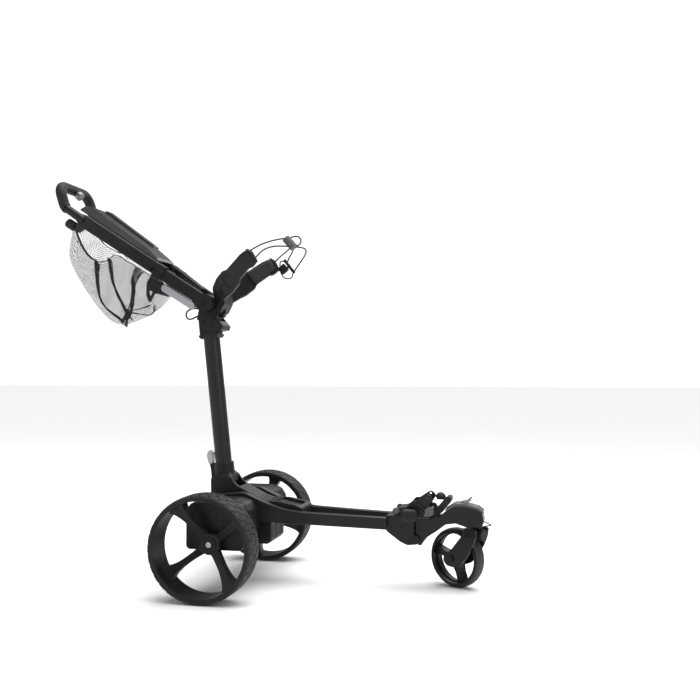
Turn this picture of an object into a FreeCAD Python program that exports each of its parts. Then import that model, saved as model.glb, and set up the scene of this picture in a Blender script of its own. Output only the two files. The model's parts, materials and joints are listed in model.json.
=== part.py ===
"""Electric three-wheel golf push cart, every real piece a solid of its own.

Frame while building: X forward, Y to the cart's left, Z up, millimetres, with the
origin on the ground under the rear axle.  The last step moves everything so the
origin is the middle of the bottom of the whole cart's bounding box.
"""
import FreeCAD, Part
import math
import os

V = FreeCAD.Vector
ORIGIN = V(0, 0, 0)
AXIS_X = V(1, 0, 0)
AXIS_Y = V(0, 1, 0)
AXIS_Z = V(0, 0, 1)

# ------------------------------------------------------------------ driving sizes
# running stance
WHEELBASE = 618.5       # with the swivel wheel straight
REAR_WHEEL_R = 140.0
REAR_TYRE_W = 79.0
REAR_TRACK_HALF = 265.0
FRONT_WHEEL_R = 81.5
FRONT_TYRE_W = 42.0
TRAIL = 63.5            # swivel axis ahead of the front axle
CASTER_TURN = -30.0     # degrees, the swivel wheel as it stands
# clearances
MOVE_GAP = 0.6          # between pieces that move past one another
BORE_GAP = 0.05         # radial, a pin in its bore
# rear wheel
RIM_OUTER_R = 129.0
RIM_WALL = 4.5
RIM_LIP_R = 132.5
HUB_R = 27.0
HUB_FACE_Y = 226.0
HUB_DEPTH = 23.0
AXLE_R = 8.0
REAR_SPOKES = 4
RIGHT_SPOKE_PHASE = 36.0
LEFT_SPOKE_PHASE = 75.0
TREAD_GROOVES = 30
TREAD_DEPTH = 2.4
# front wheel
FRONT_RIM_R = 72.5
FRONT_RIM_WALL = 4.5
FRONT_HUB_R = 15.0
FRONT_AXLE_R = 5.0
FRONT_SPOKES = 3
FRONT_SPOKE_PHASE = 47.0
# rails
RAIL_W = 24.0
RAIL_FRONT_X = 443.0
RAIL_FRONT_Y = 48.0
RAIL_SPLAY = 2.56       # degrees, the rails part towards the rear
# mast
MAST_LEAN = 6.15        # degrees rearward
MAST_X = -46.0
MAST_Z = 328.0
MAST_R = 23.5
MAST_WALL = 2.0
MAST_LEN = 392.0
COLLAR_HALF_W = 30.0
SLEEVE_R = 29.0
CHEEK_T = 9.4
MAST_PIN_X = -36.0
MAST_PIN_Z = 284.0
MAST_PIN_R = 6.0
# handle
HINGE_X = -85.0
HINGE_Z = 793.0
HANDLE_TILT = 32.7      # degrees above horizontal, rising to the rear
HINGE_R = 26.0
HINGE_PIN_R = 8.0
HINGE_CORE_W = 27.0
BEAM_W = 20.0
BEAM_Y_LOW = 57.0
BEAM_Y_JOINT = 64.0
BEAM_Y_HIGH = 76.0
JOINT_S = 158.0
HANDLE_S = 445.0
LOOP_TUBE_R = 12.5
GRIP_WALL = 3.0
LOOP_Y = 82.0
BAR_S = 568.0
BAR_N = 54.0
DIAL_R = 13.5
DIAL_LEN = 13.0
# front end
KNUCKLE_X = 517.0
KNUCKLE_PIN_Z = 137.0
KNUCKLE_PIN_R = 5.0
FOLD_SWING_R = 25.0     # what the arm's heel sweeps under the knuckle
SWIVEL_X = WHEELBASE + TRAIL
STEM_R = 9.0
HEAD_PIN_X = 650.0
HEAD_PIN_R = 3.0
KNOB_PIN_R = 5.0
KNOB_FACE = 9.0         # lock knob plate ahead of the swivel axis
LOCK_KNOB_Z = 152.0
LOCK_KNOB_R = 16.5
PRONG_IN = 24.5
PRONG_T = 7.5
KNOB_R = 14.0           # accessory knob under the right rail
KNOB_N = -24.5
KNOB_S = 457.0
KNOB_LEN = 30.0
KNOB_STUB_R = 5.0
SOCKET_R = 6.0
LEVER_PIVOT_S = 27.0    # lock lever under the right hinge eye
LEVER_PIVOT_N = -27.5
LEVER_PIN_R = 4.0
# upper bag bracket
ARM_ROOT_X = -62.0
ARM_ROOT_Z = 812.0
ARM_ROOT_Y = 32.0
ARM_RISE = 38.9
ARM_SPREAD = 23.0
ARM_T = 13.0
# cords
BUNGEE_R = 2.2
CABLE_R = 2.4

SHAPES = {}
CORDS = []
CORD_INFO = {}


# ------------------------------------------------------------------ helpers
def block(x0, x1, y0, y1, z0, z1):
    """Straight box between two corners."""
    return Part.makeBox(x1 - x0, y1 - y0, z1 - z0, V(x0, y0, z0))


def rod(base, axis, radius, length):
    """Cylinder from base along axis."""
    return Part.makeCylinder(radius, length, V(*base), axis)


def across(x, z, radius, y0, y1):
    """Cylinder lying across the cart between y0 and y1."""
    return Part.makeCylinder(radius, y1 - y0, V(x, y0, z), AXIS_Y)


def outline(points, radii, y=0.0):
    """Closed wire in a plane of constant Y, its corners rounded."""
    count = len(points)
    if isinstance(radii, (int, float)):
        radii = [radii] * count
    starts = []
    ends = []
    mids = []
    for i in range(count):
        here = V(points[i][0], y, points[i][1])
        prev = V(points[i - 1][0], y, points[i - 1][1])
        follow = V(points[(i + 1) % count][0], y, points[(i + 1) % count][1])
        a = prev - here
        b = follow - here
        reach_a = a.Length
        reach_b = b.Length
        a.normalize()
        b.normalize()
        half = a.getAngle(b) / 2.0
        radius = radii[i]
        back = radius / math.tan(half) if radius > 0 else 0.0
        limit = 0.49 * min(reach_a, reach_b)
        if back > limit:
            back = limit
            radius = back * math.tan(half)
        if radius < 0.05 or abs(half - math.pi / 2) < 0.01:
            starts.append(here)
            ends.append(here)
            mids.append(None)
            continue
        bisector = a + b
        bisector.normalize()
        centre = here + bisector * (radius / math.sin(half))
        starts.append(here + a * back)
        ends.append(here + b * back)
        mids.append(centre - bisector * radius)
    edges = []
    for i in range(count):
        if mids[i] is not None:
            edges.append(Part.Arc(starts[i], mids[i], ends[i]).toShape())
        target = starts[(i + 1) % count]
        if (target - ends[i]).Length > 1e-4:
            edges.append(Part.LineSegment(ends[i], target).toShape())
    return Part.Wire(edges)


def prism(points, radii, y0, y1):
    """Rounded outline in X-Z, thick from y0 to y1."""
    return Part.Face(outline(points, radii, y0)).extrude(V(0, y1 - y0, 0))


def plan_prism(points, z0, z1):
    """Straight-sided outline in X-Y, thick from z0 to z1."""
    ring = [V(p[0], p[1], z0) for p in points]
    ring.append(ring[0])
    return Part.Face(Part.makePolygon(ring)).extrude(V(0, 0, z1 - z0))


def soften(shape, radius, y0, y1):
    """Round the outline edges lying in the two side planes."""
    edges = []
    for edge in shape.Edges:
        box = edge.BoundBox
        if box.YLength < 1e-4 and min(abs(box.YMin - y0), abs(box.YMin - y1)) < 1e-4:
            edges.append(edge)
    return shape.makeFillet(radius, edges)


def soft_prism(points, radii, y0, y1, edge):
    """Prism with its side outlines rounded over."""
    return soften(prism(points, radii, y0, y1), edge, y0, y1)


def spun(profile, x, z):
    """Revolve (radius, y) points about a cross-wise axis at x, z."""
    ring = [V(x, p[1], z + p[0]) for p in profile]
    ring.append(ring[0])
    face = Part.Face(Part.makePolygon(ring))
    return face.revolve(V(x, 0, z), AXIS_Y, 360)


def mirrored(shape):
    """The other side of the cart."""
    return shape.mirror(ORIGIN, AXIS_Y)


def lean(shape):
    """Mast coordinates (offset, y, height) to the cart's."""
    out = shape.copy()
    out.rotate(ORIGIN, AXIS_Y, -MAST_LEAN)
    out.translate(V(MAST_X, 0, MAST_Z))
    return out


def mast_frame(x, z):
    """A place in the cart's side plane, in mast coordinates."""
    c = math.cos(math.radians(MAST_LEAN))
    k = math.sin(math.radians(MAST_LEAN))
    return (x - MAST_X) * c + (z - MAST_Z) * k, (z - MAST_Z) * c - (x - MAST_X) * k


def lift(shape):
    """Handle coordinates (-reach, y, height) to the cart's."""
    out = shape.copy()
    out.rotate(ORIGIN, AXIS_Y, HANDLE_TILT)
    out.translate(V(HINGE_X, 0, HINGE_Z))
    return out


def bent_wire(points, share=0.45, radius=None):
    """Straight runs joined by tangent arcs; gives the wire and the arc radii."""
    nodes = [V(*p) for p in points]
    edges = []
    radii = []
    cursor = nodes[0]
    for i in range(1, len(nodes) - 1):
        a = nodes[i - 1] - nodes[i]
        b = nodes[i + 1] - nodes[i]
        la = a.Length
        lb = b.Length
        a.normalize()
        b.normalize()
        half = a.getAngle(b) / 2.0
        turn = math.pi - 2 * half
        r = share * min(la, lb) / math.tan(turn / 2.0)
        if radius is not None:
            r = min(r, radius)
        back = r * math.tan(turn / 2.0)
        start = nodes[i] + a * back
        end = nodes[i] + b * back
        bis = a + b
        bis.normalize()
        centre = nodes[i] + bis * (r / math.cos(turn / 2.0))
        middle = centre - bis * r
        edges.append(Part.LineSegment(cursor, start).toShape())
        edges.append(Part.Arc(start, middle, end).toShape())
        radii.append(round(r, 1))
        cursor = end
    edges.append(Part.LineSegment(cursor, nodes[-1]).toShape())
    return Part.Wire(edges), radii


def pipe(points, tube_r, share=0.45, radius=None):
    """Round tube along bent straight runs."""
    wire, radii = bent_wire(points, share, radius)
    first = wire.OrderedEdges[0]
    tangent = first.tangentAt(first.FirstParameter)
    start = first.valueAt(first.FirstParameter)
    ring = Part.Wire(Part.makeCircle(tube_r, start, tangent))
    tube = wire.makePipeShell([ring], True, True)
    return tube, wire, radii


def cord(name, points, tube_r):
    """A loose cord as a tube; its length and bends are kept for the record."""
    tube, wire, radii = pipe(points, tube_r)
    share = tube.Volume / (math.pi * tube_r ** 2 * wire.Length)
    SHAPES[name] = tube
    CORDS.append(name)
    CORD_INFO[name] = (wire.Length, radii, points, tube_r)
    print("cord", name, "length", round(wire.Length, 1), "radii", radii, "volume share", round(share, 3))


def screw(base, axis, head_r, head_h):
    """Round-headed screw as it shows, with a cross recess."""
    head = rod(base, axis, head_r, head_h)
    slot_w = head_r * 0.3
    across_dir = AXIS_Z if abs(axis.z) < 0.9 else AXIS_X
    top = V(*base) + axis * (head_h * 0.5)
    cut = Part.makeBox(slot_w, head_r * 1.2, head_h, V(-slot_w / 2, -head_r * 0.6, 0))
    other = Part.makeBox(head_r * 1.2, slot_w, head_h, V(-head_r * 0.6, -slot_w / 2, 0))
    tool = cut.fuse(other)
    tool.Placement = FreeCAD.Placement(top, FreeCAD.Rotation(AXIS_Z, axis))
    return head.cut(tool)


def keep(name, shape):
    """Name a finished piece."""
    SHAPES[name] = shape


def seat(host, *guests):
    """Pocket the named pieces exactly into the host."""
    shape = SHAPES[host]
    for guest in guests:
        shape = shape.cut(SHAPES[guest])
    SHAPES[host] = shape


def group(name, members):
    """Same pieces left and right, or alike fasteners, in one node as separate solids."""
    shapes = []
    for member in members:
        shapes.extend(SHAPES.pop(member).Solids)
    SHAPES[name] = Part.makeCompound(shapes)


def weld(name, members):
    """Pieces made as one moulding or casting become one solid."""
    shape = SHAPES.pop(members[0])
    for member in members[1:]:
        shape = shape.fuse(SHAPES.pop(member))
    SHAPES[name] = shape.removeSplitter()


# ------------------------------------------------------------------ rear wheels
def spoke_blade(phase, x, z, hub, rim, waist, foot, y0, y1):
    """One flared spoke as a deep prism, turned to its angle."""
    span = rim - hub
    stations = [(hub - 6, waist * 1.35), (hub + 0.22 * span, waist * 1.05),
                (hub + 0.52 * span, waist), (hub + 0.76 * span, waist * 1.35),
                (hub + 0.92 * span, foot * 0.66), (rim + 2, foot * 1.05)]
    upper = Part.BSplineCurve()
    upper.interpolate([V(x + r, y0, z + w) for r, w in stations])
    lower = Part.BSplineCurve()
    lower.interpolate([V(x + r, y0, z - w) for r, w in reversed(stations)])
    end = Part.LineSegment(V(x + stations[-1][0], y0, z + stations[-1][1]),
                           V(x + stations[-1][0], y0, z - stations[-1][1]))
    start = Part.LineSegment(V(x + stations[0][0], y0, z - stations[0][1]),
                             V(x + stations[0][0], y0, z + stations[0][1]))
    wire = Part.Wire([upper.toShape(), end.toShape(), lower.toShape(), start.toShape()])
    blade = Part.Face(wire).extrude(V(0, y1 - y0, 0))
    blade.rotate(V(x, 0, z), AXIS_Y, -phase)
    return blade


def rear_wheel(side, phase):
    """Tyre, rim and hub parts for the left side, mirrored for the right."""
    x = 0.0
    z = REAR_WHEEL_R
    mid = REAR_TRACK_HALF
    half = REAR_TYRE_W / 2
    r = REAR_WHEEL_R
    seat_half = half - 4.5
    tyre = spun([(RIM_OUTER_R, mid - seat_half), (RIM_OUTER_R, mid + seat_half),
                 (RIM_LIP_R, mid + seat_half), (RIM_LIP_R, mid + half),
                 (r - 3.2, mid + half), (r - 0.6, mid + half - 8), (r, mid + half - 18),
                 (r, mid - half + 18), (r - 0.6, mid - half + 8), (r - 3.2, mid - half),
                 (RIM_LIP_R, mid - half), (RIM_LIP_R, mid - seat_half)], x, z)
    cutters = []
    step = 360.0 / TREAD_GROOVES
    for i in range(TREAD_GROOVES):
        for band in (-1, 1):
            y_in = mid + (3.0 if band > 0 else -half - 1)
            y_out = mid + (half + 1 if band > 0 else -3.0)
            groove = block(x - 2.2, x + 2.2, y_in, y_out, z + r - TREAD_DEPTH, z + r + 2)
            groove.rotate(V(x, (y_in + y_out) / 2, z + r), AXIS_Z, 24.0 * band)
            groove.rotate(V(x, 0, z), AXIS_Y, step * (i + (0.5 if band > 0 else 0.0)))
            cutters.append(groove)
    ring = spun([(r - TREAD_DEPTH, mid - 1.8), (r - TREAD_DEPTH, mid + 1.8),
                 (r + 1, mid + 1.8), (r + 1, mid - 1.8)], x, z)
    tyre = tyre.cut(Part.makeCompound(cutters)).cut(ring)
    inner = RIM_OUTER_R - RIM_WALL
    barrel = spun([(inner, mid - half + 1), (inner, mid + half - 1), (RIM_LIP_R, mid + half - 1),
                   (RIM_LIP_R, mid + seat_half), (RIM_OUTER_R, mid + seat_half),
                   (RIM_OUTER_R, mid - seat_half), (RIM_LIP_R, mid - seat_half),
                   (RIM_LIP_R, mid - half + 1)], x, z)
    face = HUB_FACE_Y
    root = HUB_FACE_Y - HUB_DEPTH
    band = spun([(0.0, root + 3), (HUB_R + 4, root + 3), (inner + 1, mid - 24),
                 (inner + 1, mid + 10), (HUB_R + 4, face), (0.0, face)], x, z)
    rim = barrel.fuse(across(x, z, HUB_R, root, face))
    for i in range(REAR_SPOKES):
        angle = phase + 360.0 / REAR_SPOKES * i
        blade = spoke_blade(angle, x, z, HUB_R, inner, 9.0, 27.0, root - 2, mid + 14)
        rim = rim.fuse(blade.common(band))
    rim = rim.cut(across(x, z, AXLE_R + BORE_GAP, root - 1, face - 3.0))
    rim = rim.cut(across(x, z, 19.0, face - 2.0, face + 1.0))
    cap = across(x, z, 19.0, face - 2.0, face + 2.0)
    cap = cap.cut(across(x, z, 7.2, face - 3.0, face + 3.0))
    cap = cap.cut(spun([(11.0, face + 1.2), (16.0, face + 1.2), (16.0, face + 3), (11.0, face + 3)], x, z))
    bolt = across(x, z, 7.2, face - 2.0, face + 4.5)
    bolt = bolt.cut(across(x, z, 3.4, face + 2.5, face + 5.0))
    pieces = (("tyre", tyre), ("rim", rim), ("hub_cap", cap), ("hub_bolt", bolt))
    for name, shape in pieces:
        keep("%s_%s" % (name, side), shape if side == "l" else mirrored(shape))


def front_wheel():
    """Small swivel wheel: smooth tyre on a three-spoke rim."""
    x = WHEELBASE
    z = FRONT_WHEEL_R
    half = FRONT_TYRE_W / 2
    r = FRONT_WHEEL_R
    tyre = spun([(FRONT_RIM_R, -half + 3), (FRONT_RIM_R, half - 3), (FRONT_RIM_R + 2.5, half - 3),
                 (FRONT_RIM_R + 2.5, half), (r - 4.0, half), (r - 1.2, half - 4), (r, half - 11),
                 (r, -half + 11), (r - 1.2, -half + 4), (r - 4.0, -half),
                 (FRONT_RIM_R + 2.5, -half), (FRONT_RIM_R + 2.5, -half + 3)], x, z)
    inner = FRONT_RIM_R - FRONT_RIM_WALL
    barrel = spun([(inner, -half + 0.6), (inner, half - 0.6), (FRONT_RIM_R + 2.5, half - 0.6),
                   (FRONT_RIM_R + 2.5, half - 3), (FRONT_RIM_R, half - 3),
                   (FRONT_RIM_R, -half + 3), (FRONT_RIM_R + 2.5, -half + 3),
                   (FRONT_RIM_R + 2.5, -half + 0.6)], x, z)
    rib = spun([(inner - 3.5, -3.0), (inner - 3.5, 3.0), (inner + 1, 3.0), (inner + 1, -3.0)], x, z)
    band = spun([(0.0, -half + 2), (FRONT_HUB_R, -half + 2), (inner + 1, -8), (inner + 1, 8),
                 (FRONT_HUB_R, half - 2), (0.0, half - 2)], x, z)
    rim = barrel.fuse(rib).fuse(across(x, z, FRONT_HUB_R, -half + 1, half - 1))
    for i in range(FRONT_SPOKES):
        angle = FRONT_SPOKE_PHASE + 360.0 / FRONT_SPOKES * i
        blade = spoke_blade(angle, x, z, FRONT_HUB_R, inner, 8.0, 19.0, -half, half)
        rim = rim.fuse(blade.common(band))
    rim = rim.cut(across(x, z, FRONT_AXLE_R + BORE_GAP, -half - 1, half + 1))
    keep("tyre_front", tyre)
    keep("rim_front", rim)


# ------------------------------------------------------------------ chassis
def rail(side):
    """Side rail: flat beam rising in a sweep into the mast base."""
    points = [(-60, 182), (60, 178), (173, 174), (RAIL_FRONT_X, 165.5), (RAIL_FRONT_X, 197.5),
              (310, 202), (215, 206), (158, 214), (108, 229), (70, 245), (42, 258), (-60, 250)]
    radii = [10, 300, 300, 3, 3, 300, 200, 160, 160, 120, 40, 12]
    shape = soft_prism(points, radii, -RAIL_W / 2, RAIL_W / 2, 3.5)
    groove = prism([(200, 184), (425, 177), (425, 187.5), (200, 195)], 4, -RAIL_W / 2 - 1, -RAIL_W / 2 + 0.8)
    shape = shape.cut(groove)
    shape.rotate(V(RAIL_FRONT_X, 0, 0), AXIS_Z, RAIL_SPLAY)
    shape.translate(V(0, -RAIL_FRONT_Y, 0))
    keep("rail_%s" % side, shape if side == "r" else mirrored(shape))


def chassis():
    """Fixed frame between the wheels: mast base, deck, battery, drives."""
    rail("r")
    rail("l")
    cheek = COLLAR_HALF_W + MOVE_GAP + CHEEK_T
    base = soft_prism([(-70, 190), (-72, 300), (-16, 302), (-4, 284), (8, 272), (28, 262),
                       (73, 240), (100, 231), (100, 190)],
                      [4, 18, 16, 14, 16, 40, 60, 2, 2], -cheek, cheek, 4.0)
    slot = prism([(-110, 256.5), (-10, 256.5), (24, 274), (24, 340), (-110, 340)], 0,
                 -COLLAR_HALF_W - MOVE_GAP, COLLAR_HALF_W + MOVE_GAP)
    keep("mast_base", base.cut(slot))
    nose = prism([(100, 192), (100, 231), (138, 230.5), (186, 222), (204, 214), (204, 192)],
                 [0, 0, 40, 30, 6, 4], -52, 52)
    dish = prism([(124, 226.5), (192, 213), (192, 240), (124, 240)], 2, -34, 34)
    keep("base_nose", nose.cut(dish))
    keep("deck", block(-66, 204, -58, 58, 180, 190).fuse(block(100, 204, -52, 52, 189, 192)))
    battery = soft_prism([(-62, 180), (-62, 124), (-50, 113), (108, 113), (118, 124), (118, 180)],
                         [0, 10, 14, 12, 8, 0], -60, 60, 4.0)
    slots = []
    for i in range(9):
        y = -48.0 + 12.0 * i
        slots.append(block(114, 130, y - 3.2, y + 3.2, 126, 168))
    keep("battery_case", battery.cut(Part.makeCompound(slots)))
    for side in ("r", "l"):
        flip = (lambda s: s) if side == "l" else mirrored
        drive = [(-79, 119), (-79, 222), (-66, 243), (-44, 247), (42, 247), (70, 238),
                 (84, 216), (84, 130), (74, 119)]
        corner = [12, 18, 20, 20, 22, 20, 16, 10, 10]
        inner = prism(drive, corner, 62, 150)
        outer = soft_prism(drive, corner, 150, 196, 5.0)
        outer = outer.fuse(across(0, REAR_WHEEL_R, 24, 196, 201))
        panel = prism([(-8, 168), (-8, 240), (8, 240), (8, 168)], 2, 195, 197)
        outer = outer.fuse(panel.cut(across(0, REAR_WHEEL_R, 24, 190, 210)))
        axle = across(0, REAR_WHEEL_R, AXLE_R, 120, HUB_FACE_Y - 4.0)
        keep("drive_case_%s" % side, flip(inner.cut(axle)))
        keep("drive_cover_%s" % side, flip(outer.cut(axle)))
        keep("axle_%s" % side, flip(axle))
        seat("drive_case_%s" % side, "rail_%s" % side, "deck", "battery_case")
    seat("battery_case", "rail_r", "rail_l", "deck")
    seat("deck", "rail_r", "rail_l")
    seat("base_nose", "rail_r", "rail_l")
    screws = []
    for x, z in ((-60, 210), (70, 210), (-60, 132), (66, 132)):
        screws.append(screw((x, 196, z), AXIS_Y, 4.5, 2.0))
        screws.append(screw((x, -196, z), V(0, -1, 0), 4.5, 2.0))
    keep("drive_screws", Part.makeCompound(screws))
    pin = across(MAST_PIN_X, MAST_PIN_Z, MAST_PIN_R, -cheek - 2, cheek + 2)
    keep("mast_pin", pin)
    seat("mast_base", "mast_pin")


def knuckle():
    """Fold joint at the front of the rails, chassis half, with its rivets."""
    pin_z = KNUCKLE_PIN_Z
    body = soft_prism([(438, 201), (438, 162), (444, 156), (478, 131), (497, 122.5), (512, 123.5),
                       (KNUCKLE_X - MOVE_GAP, 128), (KNUCKLE_X - MOVE_GAP, 196), (500, 204), (478, 203)],
                      [3, 3, 6, 20, 12, 6, 2, 3, 12, 12], -41, 41, 2.5)
    body = body.cut(across(KNUCKLE_X, pin_z, 14.0 + MOVE_GAP, -42, 42))
    lug = across(KNUCKLE_X, pin_z, 13.0, -38, 38)
    web = prism([(500, 125), (517, 124), (517, 150), (500, 150)], 0, -38, 38)
    body = body.fuse(lug.fuse(web).cut(block(480, 560, -18 - MOVE_GAP, 18 + MOVE_GAP, 100, 170)))
    middle = prism([(502, 110), (540, 110), (540, 152), (502, 152)], 0, -18 - MOVE_GAP, 18 + MOVE_GAP)
    body = body.cut(middle)
    swing = across(KNUCKLE_X, pin_z, FOLD_SWING_R, -30 - MOVE_GAP, 30 + MOVE_GAP)
    swing = swing.cut(across(KNUCKLE_X, pin_z, 14.0, -40, 40))
    body = body.cut(swing.common(block(470, 560, -60, 60, 90, pin_z)))
    body = body.cut(across(KNUCKLE_X, pin_z, KNUCKLE_PIN_R, -50, 50))
    keep("knuckle", body)
    keep("knuckle_pin", across(KNUCKLE_X, pin_z, KNUCKLE_PIN_R, -41, 41))
    for side in ("r", "l"):
        SHAPES["rail_%s" % side] = SHAPES["rail_%s" % side].cut(body)
    rivets = []
    for x in (455, 484):
        rivets.append(rod((x, -41, 172), V(0, -1, 0), 4.0, 1.6))
        rivets.append(rod((x, 41, 172), AXIS_Y, 4.0, 1.6))
    keep("knuckle_rivets", Part.makeCompound(rivets))


def front_arm():
    """Arm that carries the swivel wheel and folds at the knuckle."""
    arm = soft_prism([(KNUCKLE_X + MOVE_GAP, 196), (KNUCKLE_X + MOVE_GAP, 128), (526, 122), (534, 121),
                      (540, 130), (552, 145), (579, 163), (601, 180), (628, 184), (660, 173.5),
                      (699, 176), (704, 190), (700, 214), (685, 223), (650, 231), (626, 230),
                      (604, 216), (585, 200), (545, 194)],
                     [3, 2, 3, 4, 4, 12, 40, 14, 14, 10, 4, 6, 12, 12, 20, 16, 20, 20, 20],
                     -30, 30, 3.0)
    arm = arm.cut(across(KNUCKLE_X, KNUCKLE_PIN_Z, 14.0 + MOVE_GAP, -41, 41))
    lug = across(KNUCKLE_X, KNUCKLE_PIN_Z, 13.0, -18, 18)
    web = prism([(517, 126), (536, 126), (536, 148), (517, 150)], 0, -18, 18)
    arm = arm.fuse(lug.fuse(web))
    arm = arm.cut(across(KNUCKLE_X, KNUCKLE_PIN_Z, KNUCKLE_PIN_R + BORE_GAP, -50, 50))
    cover = prism([(604, 216), (626, 230), (650, 231), (685, 223), (700, 214), (703, 217), (688, 228),
                   (650, 237.5), (624, 237), (598, 219)],
                  [1, 16, 20, 12, 1, 3, 12, 22, 20, 3], -26, 26)
    arm = arm.cut(cover)
    stem_bore = rod((SWIVEL_X, 0, 160), AXIS_Z, STEM_R + BORE_GAP, 52.5)
    lever_bore = rod((HEAD_PIN_X, 0, 225.4), AXIS_Z, HEAD_PIN_R + BORE_GAP, 20)
    arm = arm.cut(stem_bore).cut(lever_bore)
    keep("front_arm", arm)
    keep("head_cover", cover.cut(lever_bore))
    lever = soft_prism([(640, 239), (644, 243), (658, 246), (668, 255), (672, 252), (667, 242), (660, 239)],
                       [1, 4, 6, 1.5, 1.5, 6, 1], -5, 5, 1.0)
    lever = lever.fuse(rod((HEAD_PIN_X, 0, 238.2), AXIS_Z, 9.0, 4.0))
    keep("head_lever", lever.fuse(rod((HEAD_PIN_X, 0, 226), AXIS_Z, HEAD_PIN_R, 13)))
    spine = soft_prism([(548, 192), (575, 196), (596, 217), (617, 243), (616, 254), (606, 256), (596, 246)],
                       [4, 6, 20, 6, 2, 3, 8], -22, 22, 2.0)
    for i in range(5):
        at = 0.16 + 0.13 * i
        spine = spine.cut(block(548 + 60 * at, 551 + 60 * at, -23, -19.5, 180, 270))
    keep("foot_plate", spine.cut(arm))
    bar = soft_prism([(575, 245), (603, 245), (603, 250), (575, 250)], [1, 0, 0, 1], -12, 12, 1.0)
    bar = bar.cut(SHAPES["foot_plate"])
    keep("strap_bar", bar)
    dome = Part.makeSphere(14.0, V(585, 0, 250))
    dome = dome.common(block(565, 605, -20, 20, 250, 263.5))
    dome = dome.cut(SHAPES["foot_plate"])
    keep("strap_knob", dome)
    loop, wire, radii = pipe([(700, -11, 191), (721, -3, 180), (721, 3, 177), (700, 11, 172)], 1.6, 0.45)
    keep("strap_eye", loop)
    seat("front_arm", "strap_eye")


def fork():
    """Two-prong trailing fork with its stem, guard, axle and lock knob, wheel straight."""
    sx = SWIVEL_X
    out = PRONG_IN + PRONG_T
    crown = block(sx - 21, sx + 9, -out, out, 161, 170)
    prong = soft_prism([(sx - 21, 170), (sx + 20, 170), (sx + 18, 150), (sx + 6, 120), (sx - 14, 88),
                        (sx - 36, 66), (sx - 52, 59), (sx - 76, 61), (sx - 89, 72), (sx - 88, 86),
                        (sx - 62, 108), (sx - 30, 146)],
                       [1, 4, 14, 40, 30, 10, 10, 12, 8, 10, 30, 20], PRONG_IN, out, 1.6)
    stem = rod((sx, 0, 168), AXIS_Z, STEM_R, 43)
    body = crown.fuse(prong).fuse(mirrored(prong)).fuse(stem)
    axle = across(WHEELBASE, FRONT_WHEEL_R, FRONT_AXLE_R, -out - 1, out + 1)
    head = across(WHEELBASE, FRONT_WHEEL_R, 9.0, out, out + 4)
    axle = axle.fuse(head).fuse(mirrored(head))
    keep("fork", body.cut(axle))
    keep("fork_axle", axle)
    shell = block(sx - 18, sx + 15.5, out - 0.5, out + 0.7, 147, 168)
    for i in range(6):
        x = sx - 17.0 + 5.6 * i
        rib = soft_prism([(x, 146), (x + 3.4, 146), (x + 3.4, 169), (x, 169)], 1.0, out - 0.5, out + 3, 0.5)
        shell = shell.fuse(rib)
    keep("fork_guard", Part.makeCompound([shell, mirrored(shell)]))
    face = sx + KNOB_FACE
    stub = rod((face, 0, LOCK_KNOB_Z), AXIS_X, KNOB_PIN_R, 11.0)
    plate = block(face - 4, face, -16, 16, LOCK_KNOB_Z - 13, 161)
    holder = plate.fuse(stub)
    keep("knob_mount", holder)
    knob = rod((face + 3.3, 0, LOCK_KNOB_Z), AXIS_X, LOCK_KNOB_R, 13.0)
    knob = knob.cut(rod((face + 2, 0, LOCK_KNOB_Z), AXIS_X, KNOB_PIN_R + BORE_GAP, 9.6))
    for i in range(10):
        notch = rod((face + 6.5, LOCK_KNOB_R + 1.1, LOCK_KNOB_Z), AXIS_X, 2.4, 12)
        notch.rotate(V(0, 0, LOCK_KNOB_Z), AXIS_X, 36.0 * i)
        knob = knob.cut(notch)
    keep("lock_knob", knob)


def turn_caster():
    """Swing the fork and its wheel to where they stand."""
    for name in ("tyre_front", "rim_front", "fork", "fork_axle", "fork_guard", "knob_mount", "lock_knob"):
        SHAPES[name].rotate(V(SWIVEL_X, 0, 0), AXIS_Z, CASTER_TURN)


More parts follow.
